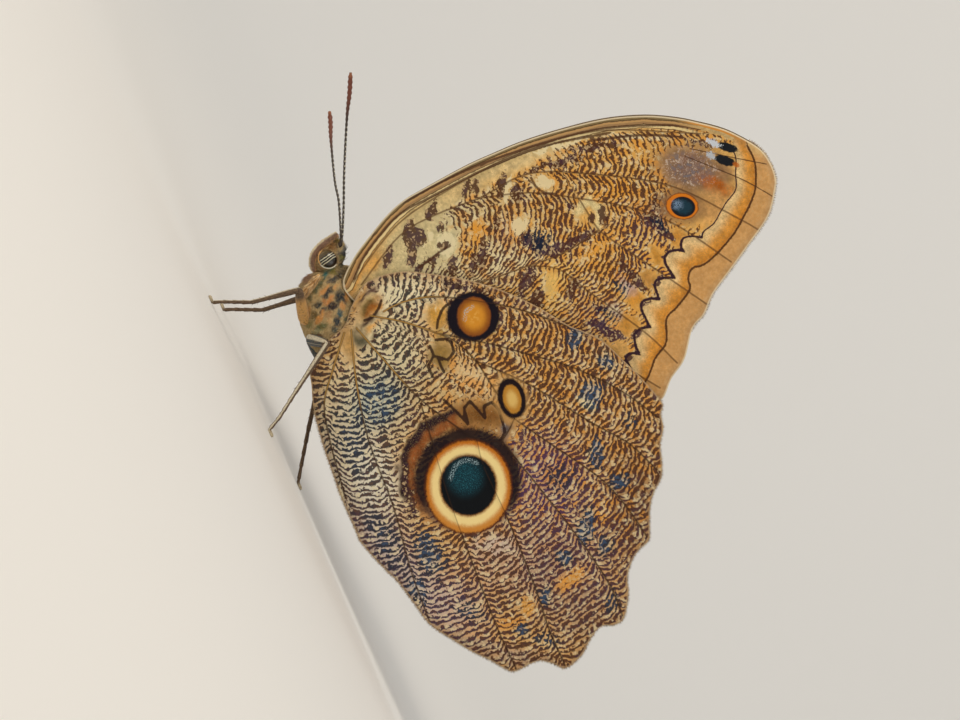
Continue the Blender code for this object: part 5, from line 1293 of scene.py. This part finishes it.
def addEye(side, word):
    x, y, z = eye["centre"]
    centre = (x, side * y, z)
    points, faces = tiltedBall(centre, eye["axes"], eye["tilt"], 44, 64)
    unit, _ = tiltedBall((0, 0, 0), (1, 1, 1), 0.0, 44, 64)
    ball = addMesh("eye_" + word, points, faces, [lensFinish], {"ball": unit})
    settle(ball, ["eye_" + word])
    # A ring of scales where the lens leaves the head
    cos, sin = math.cos(eye["tilt"]), math.sin(eye["tilt"])
    many, few = eye["rimPoints"], eye["rimSides"]
    frontX, frontZ, frontLength = eye["front"]
    rings, places = [], []
    for turn in np.arange(many) * math.tau / many:
        out = 1.03 + 0.03 * math.sin(turn * 3)
        flatX, flatZ = eye["axes"][0] * math.cos(turn) * out, eye["axes"][2] * math.sin(turn) * out
        below = (math.cos(turn) - math.sin(turn)) * 0.7
        front = -(frontX * math.cos(turn) + frontZ * math.sin(turn)) / frontLength
        thick = 0.05 + 0.06 * smooth(below, 0.3, 0.95) + 0.06 * smooth(front, 0.4, 0.9)
        for roll in np.arange(few) * math.tau / few:
            grow = 1 + thick * math.cos(roll) / 1.5
            px, pz, py = flatX * grow, flatZ * grow, 0.2 + thick * math.sin(roll) * 1.3
            rings.append((x + px * cos + pz * sin, side * (y + py), z - px * sin + pz * cos))
            places.append((below, front, 0.0))
    points = np.array(rings)
    faces = [(a * few + k, a * few + (k + 1) % few, (a + 1) % many * few + (k + 1) % few,
              (a + 1) % many * few + k) for a in range(many) for k in range(few)]
    rim = addMesh("eye_rim_" + word, points, faceOut(points, faces), [rimFinish], {"rim": np.array(places)})
    settle(rim, ["head"])


# Legs, palps and antennae are round skins along rows of x, y, z and radius.
# Their marks are the mm run, the mm left and the share of a turn.
def limbSkin(path, sides=14, flatten=1.0, floor=None):
    path = np.array(path, float)
    across = np.array((0.0, 1.0, 0.0))
    lengths = np.concatenate(([0.0], np.cumsum(np.linalg.norm(np.diff(path[:, :3], axis=0), axis=1))))
    rings, marks = [], []
    for i, (x, y, z, radius) in enumerate(path):
        along = path[min(i + 1, len(path) - 1), :3] - path[max(i - 1, 0), :3]
        along /= np.linalg.norm(along)
        sideways = across - along * np.dot(across, along)
        sideways /= np.linalg.norm(sideways)
        up = np.cross(along, sideways)
        ring = np.array([
            np.array((x, y, z)) + sideways * math.cos(t) * radius * flatten + up * math.sin(t) * radius
            for t in np.arange(sides) * math.tau / sides])
        if floor is not None:
            ring[:, 2] = np.maximum(ring[:, 2], floor)
        rings.append(ring)
        marks += [(lengths[i], lengths[-1] - lengths[i], t) for t in np.arange(sides) / sides]
        across = sideways
    return (*ringSkin(rings), np.array(marks))


antenna = {  # mm, with the paths on the chart
    "radius": 0.2, "club": 0.38, "spread": 12.3, "root": 0.75,
    "joint": 0.85,  # each joint of the shaft has a pale ring
    "colours": ("#2e2118", "#6e351f", "#d9d2ba", "#a0643a"),  # horn, club, dots, tip
    "left": [(337.5, 249), (342, 239), (344.2, 207.8), (345.3, 173.3), (348.8, 121.7), (351.7, 98.7),
             (353.2, 78.6)],
    "right": [(337.5, 249), (340.3, 238), (337.9, 202), (333.3, 179), (328.7, 139), (327.6, 118),
              (326.4, 106.7)],
}


def antennaHorn():  # satin horny rings, each with a pale dot of scales below, and a rust club
    finish, tree = newFinish("ringed antenna")
    along, left, turn = axesOf(tree, "mark")
    beat, facing = (
        addNode(tree, "Math", {"operation": "SINE"},
                {0: sumOf(tree, [(value, math.tau * turns)])})
        for value, turns in ((along, 1 / antenna["joint"]), (turn, 2)))
    horn, club, dot, tip = antenna["colours"]
    painted = layCoats(tree, horn, [
        (club, 1.0, (left, 9.0, 3.0)),
        (dot, 0.9, (beat, 0.45, 0.85), (facing, -0.2, 0.5), (left, 8.0, 11.0), (along, 1.6, 2.4)),
        (tip, 0.6, (left, 1.2, 0.0))])
    finishOf(tree, painted, {"Roughness": 0.42, "IOR": 1.56, "Specular IOR Level": 0.45})
    return finish


antennaFinish = antennaHorn()


def addAntenna(side, word):
    line = curveThrough(fromChart(antenna[word]), 0.14)
    run = np.concatenate(([0.0], np.cumsum(np.linalg.norm(np.diff(line, axis=0), axis=1))))
    rows = []
    for (x, z), reach in zip(line, run):
        share = reach / run[-1]
        y = antenna["root"] + (antenna["spread"] - antenna["root"]) * share**1.15
        club = smooth(share, 0.7, 0.92) * (1 - 0.75 * smooth(share, 0.965, 1.0))
        ring = 1 + 0.14 * math.cos(math.tau * reach / antenna["joint"])
        base = 1 + 0.9 * math.exp(-((reach - 0.7) / 0.7) ** 2)
        radius = (antenna["radius"] + (antenna["club"] - antenna["radius"]) * club) * ring * base
        rows.append((x, side * y, z, radius))
    points, faces, marks = limbSkin(rows, 12)
    settle(addMesh("antenna_" + word, points, faces, [antennaFinish], {"mark": marks}), ["antenna_" + word])


# Hip, knee, ankle, heel and toe, as x, distance from the middle plane and z
legs = {
    "midleg_left": [
        (9.7, 2.3, 12.5), (5.0, 8.0, 13.9), (3.8, 9.3, 6.1), (1.7, 9.9, 1.5), (0.0, 10.2, 0.0)],
    "midleg_right": [
        (9.7, 2.3, 12.5), (5.9, 8.3, 14.1), (5.0, 9.7, 6.3), (2.8, 10.3, 1.6), (1.0, 10.6, 0.0)],
    "hindleg_left": [
        (13.1, 2.1, 12.1), (15.0, 7.7, 14.6), (20.2, 8.3, 6.6), (22.9, 8.2, 2.6), (25.4, 8.0, 0.0)],
    "hindleg_right": [
        (13.1, 2.1, 12.1), (17.6, 8.6, 11.9), (26.8, 7.4, 5.2), (31.6, 6.4, 1.9), (35.4, 5.6, 0.0)],
}
legShape = {  # mm
    "femur": (0.95, 0.62), "tibia": (0.5, 0.4), "tarsus": (0.36, 0.28),  # radii at the start and the end
    "flat": 1.3, "rest": 0.224, "tarsusParts": 5,
    # Number, how far out they start, and length
    "spines": {"tibia": (16, 0.42, 0.75), "tarsus": (8, 0.3, 0.5), "femur": (8, 0.6, 0.45)},
    "spineRadius": 0.07, "clawRadius": 0.08,
    "scales": ("#5e4c3c", "#8f765a", "#ddd4ba", "#c4b699", "#241c16"),  # brown, flecks, below, foot, dark
    "hips": {"midleg": ("middle leg cuticle", "#d2a05c"), "hindleg": ("hind leg cuticle", "#38464c")},
}


# Dull scaly cuticle: brown, another colour by the hip, cream along the lower edge.
def legSurface(name, hip):
    finish, tree = newFinish(name)
    along, left, turn = axesOf(tree, "mark")
    place = addNode(tree, "Attribute", {"attribute_name": "mark"}).outputs["Vector"]
    stretch = addNode(tree, "VectorMath", {"operation": "MULTIPLY"},
                      {0: place, 1: (2.2, 0.0, 7.0)})
    flecks = addNode(tree, "TexNoise", {}, {"Vector": stretch, "Scale": 1.6, "Detail": 2.0})
    under = addNode(tree, "Math", {"operation": "SINE"}, {0: sumOf(tree, [(turn, math.tau)])})
    brown, fleck, cream, foot, dark = legShape["scales"]
    painted = layCoats(tree, brown, [
        (hip, 0.9, (along, 9.0, 7.0)), (fleck, 0.6, (flecks.outputs[0], 0.52, 0.64)),
        (cream, 0.8, (under, -0.8, -0.95)), (foot, 0.9, (left, 1.6, 0.5)),
        (dark, 0.6, (flecks.outputs[0], 0.44, 0.36))])
    satin = dullChitin | {"Roughness": 0.55, "Sheen Weight": 0.1}
    finishOf(tree, painted, satin, [(flecks.outputs[0], 1.0)])
    return finish


legFinishes = {kind: legSurface(*hip) for kind, hip in legShape["hips"].items()}


def cone(base, tip, radius, mark, sides=5):  # a spine or claw, with the same mark all over
    base, tip = np.array(base, float), np.array(tip, float)
    along = (tip - base) / np.linalg.norm(tip - base)
    first = np.cross(along, (0.3, 0.9, 0.2))
    first /= np.linalg.norm(first)
    second = np.cross(along, first)
    ring = [base + (first * math.cos(t) + second * math.sin(t)) * radius
            for t in np.arange(sides) * math.tau / sides]
    faces = [(k, (k + 1) % sides, sides) for k in range(sides)] + [tuple(range(sides))[::-1]]
    return np.array(ring + [tip]), faces, np.tile(mark, (sides + 1, 1))


def addLeg(name, joints):
    side = -1 if "left" in name else 1
    hip, knee, ankle, heel, toe = (np.array((x, side * y, z)) for x, y, z in joints)
    ends = {"tibia": (knee, ankle), "tarsus": (ankle, heel), "femur": (hip, knee)}
    rows = [(hip[0] + 0.2, hip[1] - side * 1.6, hip[2] + 1.8, legShape["femur"][0])]  # starts in the thorax
    for part, much, waves in (("femur", 0.16, 1), ("tibia", 0.12, 2)):
        (start, end), (thick, thin) = ends[part], legShape[part]
        for share in np.linspace(0.0, 0.96, 16):
            radius = (thick * (1 - share) + thin * share) * (1 + much * math.sin(math.pi * share * waves))
            rows.append((*(start * (1 - share) + end * share), radius))
    flat = toe - heel
    flat[2] = 0.0
    flat /= np.linalg.norm(flat)
    rest = np.array((0, 0, legShape["rest"]))
    sole = [toe - flat * back + rest for back in (legShape["flat"], 0.25, 0.0)]
    walk = np.array([ankle, heel, sole[0], sole[1], sole[2]])
    run = np.concatenate(([0.0], np.cumsum(np.linalg.norm(np.diff(walk, axis=0), axis=1))))
    for reach in np.linspace(0.3, run[-1], 44):
        share = reach / run[-1]
        place = [np.interp(reach, run, walk[:, k]) for k in range(3)]
        beat = (share * legShape["tarsusParts"]) % 1.0  # each joint of the foot widens to its end
        thick = (legShape["tarsus"][0] * (1 - share) + legShape["tarsus"][1] * share) * (0.82 + 0.3 * beat)
        rows.append((*place, thick * (1 - 0.5 * smooth(share, 0.96, 1.0))))
    shapes = [limbSkin(rows, 14, floor=0.0)]
    total = shapes[0][2][:, 0].max()
    draw = np.random.default_rng(len(name) + side)
    for part, (count, thick, reach) in legShape["spines"].items():
        start, end = ends[part]
        along = (end - start) / np.linalg.norm(end - start)
        for k in range(count):
            share = (k + 0.5) / count
            out = np.cross(along, (0.0, 1.0, 0.1 * draw.normal()))
            out = out / np.linalg.norm(out) * (1 if k % 2 else -1)
            out = out + np.array((0, side * draw.uniform(0.1, 0.7), 0))
            root = start + (end - start) * share + out * thick * 0.5
            tip = root + (out * 0.55 + along * 0.8) * reach * draw.uniform(0.7, 1.1)
            tip[2] = max(tip[2], 0.02)
            shapes.append(cone(root, tip, legShape["spineRadius"], (total * 0.5, 6.0, 0.25)))
    for way in (-1, 1):  # the pair of claws
        aside = np.array((-flat[1], flat[0], 0.0)) * way
        base = sole[2] - flat * 0.15 + aside * 0.1
        tip = sole[2] + flat * 0.05 + aside * 0.28 - np.array((0, 0, 0.18))
        shapes.append(cone(base, tip, legShape["clawRadius"], (total, 6.0, 0.25)))
    points, faces = joined(shapes)
    points[:, 2] = np.maximum(points[:, 2], 0.0)
    marks = np.vstack([shape[2] for shape in shapes])
    obj = addMesh(name, points, faces, [legFinishes[name.split("_")[0]]], {"mark": marks})
    settle(obj, [name])


# Tufts that grow from a limb's skin and point to its tip.
def addBrush(name, limb, rows, points, finish, node):
    draw = np.random.default_rng(limb["seed"])
    count, sides = limb["tufts"], limb["sides"]
    which = draw.integers(sides, len(points) - 2 * sides, count)
    roots = points[which] + draw.normal(0, limb["tuftScatter"], (count, 3))
    path, row = np.array(rows)[:, :3], which // sides
    normals = (roots if limb["shaggy"] else points[which]) - path[row]
    normals /= np.linalg.norm(normals, axis=1)[:, None]
    ahead = path[np.minimum(row + 1, len(path) - 1)] - path[row - 1]
    lies = ahead + draw.normal(0, 0.05, (count, 3))
    lengths = limb["tuftLength"] * draw.uniform(0.6, 1.2, count)
    lift = limb["tuftLift"] * draw.uniform(0.4, 1.4, count)
    widths = np.full(count, limb["tuftHalfWidth"])
    return addTufts(name, roots, normals, lies, lengths, widths, lift, finish, [node]), which


palp = {  # mm; the path is x, distance from the middle plane, z and radius
    "path": [(2.9, 0.75, 17.2, 0.42), (1.2, 0.78, 17.6, 0.62), (-0.05, 0.76, 18.9, 0.72),
             (-0.75, 0.72, 20.6, 0.68), (-1.15, 0.62, 22.2, 0.5), (-1.4, 0.52, 23.3, 0.3)],
    "flatten": 0.72, "sides": 20, "tufts": 1500, "tuftLength": 0.5, "tuftHalfWidth": 0.055,
    "tuftLift": 0.6, "tuftScatter": 0.04, "shaggy": True, "seed": 5,
    "colours": ("#8d6b52", "#efe2c0", "#e0b070", "#b88866"),  # brown, outer edge, by the eye, pale tufts
}


def palpCoat():  # soft brown scales with a pale outer edge and an orange-cream line by the eye
    finish, tree = newFinish("palp scales")
    _, _, turn = axesOf(tree, "mark")
    across = addNode(tree, "Math", {"operation": "SINE"}, {0: sumOf(tree, [(turn, math.tau)])})
    _, pick, _ = axesOf(tree, "lock")
    brown, edge, line, pale = palp["colours"]
    painted = layCoats(tree, brown, [
        (edge, 1.0, (across, 0.45, 0.8)), (line, 0.9, (across, -0.5, -0.85)),
        (pale, 0.5, (pick, 0.5, 1.0))])
    finishOf(tree, painted, softScales)
    return finish


palpFinish = palpCoat()


def addPalp(side, word):
    rows = [(x + 0.15, side * y, z, r * 0.86) for x, y, z, r in curveThrough(palp["path"], 0.25)]
    points, faces, marks = limbSkin(rows, palp["sides"], palp["flatten"])
    node, slot = "palp_" + word, "palp_scales"
    obj = addMesh(node, points, faces, [palpFinish],
                  {"mark": marks, "lock": np.tile((0.4, 0.3, 0.0), (len(points), 1))})
    settle(obj, [node])
    tufts, which = addBrush("palp_tufts_" + word, palp, rows, points, palpFinish, node)
    mark = tufts.data.attributes.new("mark", "FLOAT_VECTOR", "POINT")
    mark.data.foreach_set("vector", np.repeat(marks[which], 7, axis=0).astype(np.float32).ravel())


foreleg = {  # mm; the path is x, z and radius, over the thorax
    "path": [(3.9, 17.8, 0.26), (4.5, 16.7, 0.4), (5.2, 15.4, 0.44), (5.9, 14.2, 0.36), (6.5, 13.2, 0.18)],
    "clear": 0.25, "sides": 14, "tufts": 700, "tuftLength": 1.1, "tuftHalfWidth": 0.06,
    "tuftLift": 0.55, "tuftScatter": 0.05, "shaggy": False, "seed": 8,
    "colours": ("#eab872", "#fbe0ac", "#9c6a36"),  # orange, cream and brown hairs
}


def thoraxHalfWidth(x, z):
    cos, sin = math.cos(body["thoraxSlope"]), math.sin(body["thoraxSlope"])
    dx, dz = x - body["thoraxFront"][0], z - body["thoraxFront"][1]
    share, rise = (dx * cos + dz * sin) / body["thoraxLength"], -dx * sin + dz * cos
    shares, highs, wides = zip(*body["thoraxProfile"])
    high = np.interp(share, shares, highs) * body["thoraxHalfHeight"]
    wide = np.interp(share, shares, wides) * body["thoraxHalfWidth"]
    return wide * math.sqrt(max(0.0, 1 - (rise / high) ** 2))


def forelegCoat():  # long soft hair
    finish, tree = newFinish("brush foreleg hair")
    _, pick, _ = axesOf(tree, "lock")
    orange, cream, brown = foreleg["colours"]
    painted = layCoats(tree, orange, [(cream, 0.9, (pick, 0.45, 0.7)), (brown, 0.8, (pick, 0.3, 0.15))])
    finishOf(tree, painted, softScales)
    return finish


forelegFinish = forelegCoat()


def addForeleg(side, word):
    rows = [(x, side * (thoraxHalfWidth(x, z) + foreleg["clear"]), z, r)
            for x, z, r in curveThrough(foreleg["path"], 0.2)]
    points, faces, _ = limbSkin(rows, foreleg["sides"])
    node, slot = "foreleg_" + word, "leg_cuticle"
    obj = addMesh(node, points, faces, [forelegFinish], {"lock": np.tile((0.4, 0.3, 0), (len(points), 1))})
    settle(obj, [node])
    addBrush("foreleg_brush_" + word, foreleg, rows, points, forelegFinish, node)


for side, word in ((-1, "left"), (1, "right")):
    addEye(side, word)
    addAntenna(side, word)
    addPalp(side, word)
    addForeleg(side, word)
for name, joints in legs.items():
    addLeg(name, joints)
print("head, antennae and legs")

studio = {  # metres and watts
    "back": 0.8, "curve": 0.8, "top": 3.0, "wide": 4.0, "front": -3.2, "colour": "#f2f1ee",
    "lights": [  # name, place, what it points at, size, power, colour
        ("key", (-0.42, -0.5, 0.5), (0, 0, 0.04), 0.45, 2.75, "#fff1de"),
        ("fill", (0.5, -0.6, 0.25), (0, 0, 0.04), 0.6, 1.0, "#fbf8f4"),
        ("top light", (-0.05, -0.12, 0.8), (0, 0, 0.04), 0.7, 0.45, "#ffffff"),
        ("backdrop light", (0, 0.75, 1.3), (0, 1.7, 0.3), 1.2, 5.0, "#fffaf4"),
    ],
    "room": ("#f6f3ee", 0.42),  # light from all round
}
camera = {
    "distance": 0.6, "lens": 135.0, "sensor": 36.0,  # metres and mm: the picture is 160 mm across
    "middle": (27.54, 36.55),  # mm from the foot, where it points
}


def addStudio():  # matt paper, that curves up behind
    finish, tree = newFinish("pale studio paper")
    finishOf(tree, studio["colour"], {"Roughness": 0.9, "Specular IOR Level": 0.2})
    profile = [(studio["front"], 0.0)] + [(y, 0.0) for y in np.linspace(-0.3, studio["back"], 12)]
    profile += [(studio["back"] + studio["curve"] * math.sin(t), studio["curve"] * (1 - math.cos(t)))
                for t in np.linspace(0.03, math.pi / 2, 60)]
    profile.append((studio["back"] + studio["curve"], studio["top"]))
    points = [(x, y, z) for y, z in profile for x in (-studio["wide"], studio["wide"])]
    faces = [(2 * i, 2 * i + 1, 2 * i + 3, 2 * i + 2) for i in range(len(profile) - 1)]
    mesh = bpy.data.meshes.new("studio floor")
    mesh.from_pydata(points, [], faces)
    mesh.materials.append(finish)
    mesh.shade_smooth()
    floor = bpy.data.objects.new("studio floor", mesh)
    bpy.context.scene.collection.objects.link(floor)


def addLight(name, place, target, size, power, code):
    light = bpy.data.lights.new(name, "AREA")
    light.shape, light.size, light.energy, light.color = "DISK", size, power, linear(code)[:3]
    obj = bpy.data.objects.new(name, light)
    obj.location = place
    obj.rotation_euler = (Vector(target) - Vector(place)).to_track_quat("-Z", "Y").to_euler()
    bpy.context.scene.collection.objects.link(obj)


def addCamera():
    made = bpy.data.cameras.new("camera")
    made.lens, made.sensor_width = camera["lens"], camera["sensor"]
    made.clip_start = 0.01
    obj = bpy.data.objects.new("camera", made)
    right = Vector((math.cos(layout["roll"]), 0.0, math.sin(layout["roll"])))
    up = Vector((-math.sin(layout["roll"]), 0.0, math.cos(layout["roll"])))
    back = right.cross(up)
    obj.matrix_world = [[right[0], up[0], back[0], (camera["middle"][0] - layout["middleX"]) * 0.001],
                        [right[1], up[1], back[1], -camera["distance"]],
                        [right[2], up[2], back[2], camera["middle"][1] * 0.001], [0, 0, 0, 1]]
    obj.matrix_world.transpose()
    bpy.context.scene.collection.objects.link(obj)
    bpy.context.scene.camera = obj


addStudio()
for light in studio["lights"]:
    addLight(*light)
world = bpy.data.worlds.new("soft room")
world.use_nodes = True
background = world.node_tree.nodes["Background"]
background.inputs["Color"].default_value = linear(studio["room"][0])
background.inputs["Strength"].default_value = studio["room"][1]
bpy.context.scene.world = world
bpy.context.scene.view_settings.view_transform = "Standard"
addCamera()
print("studio and camera")
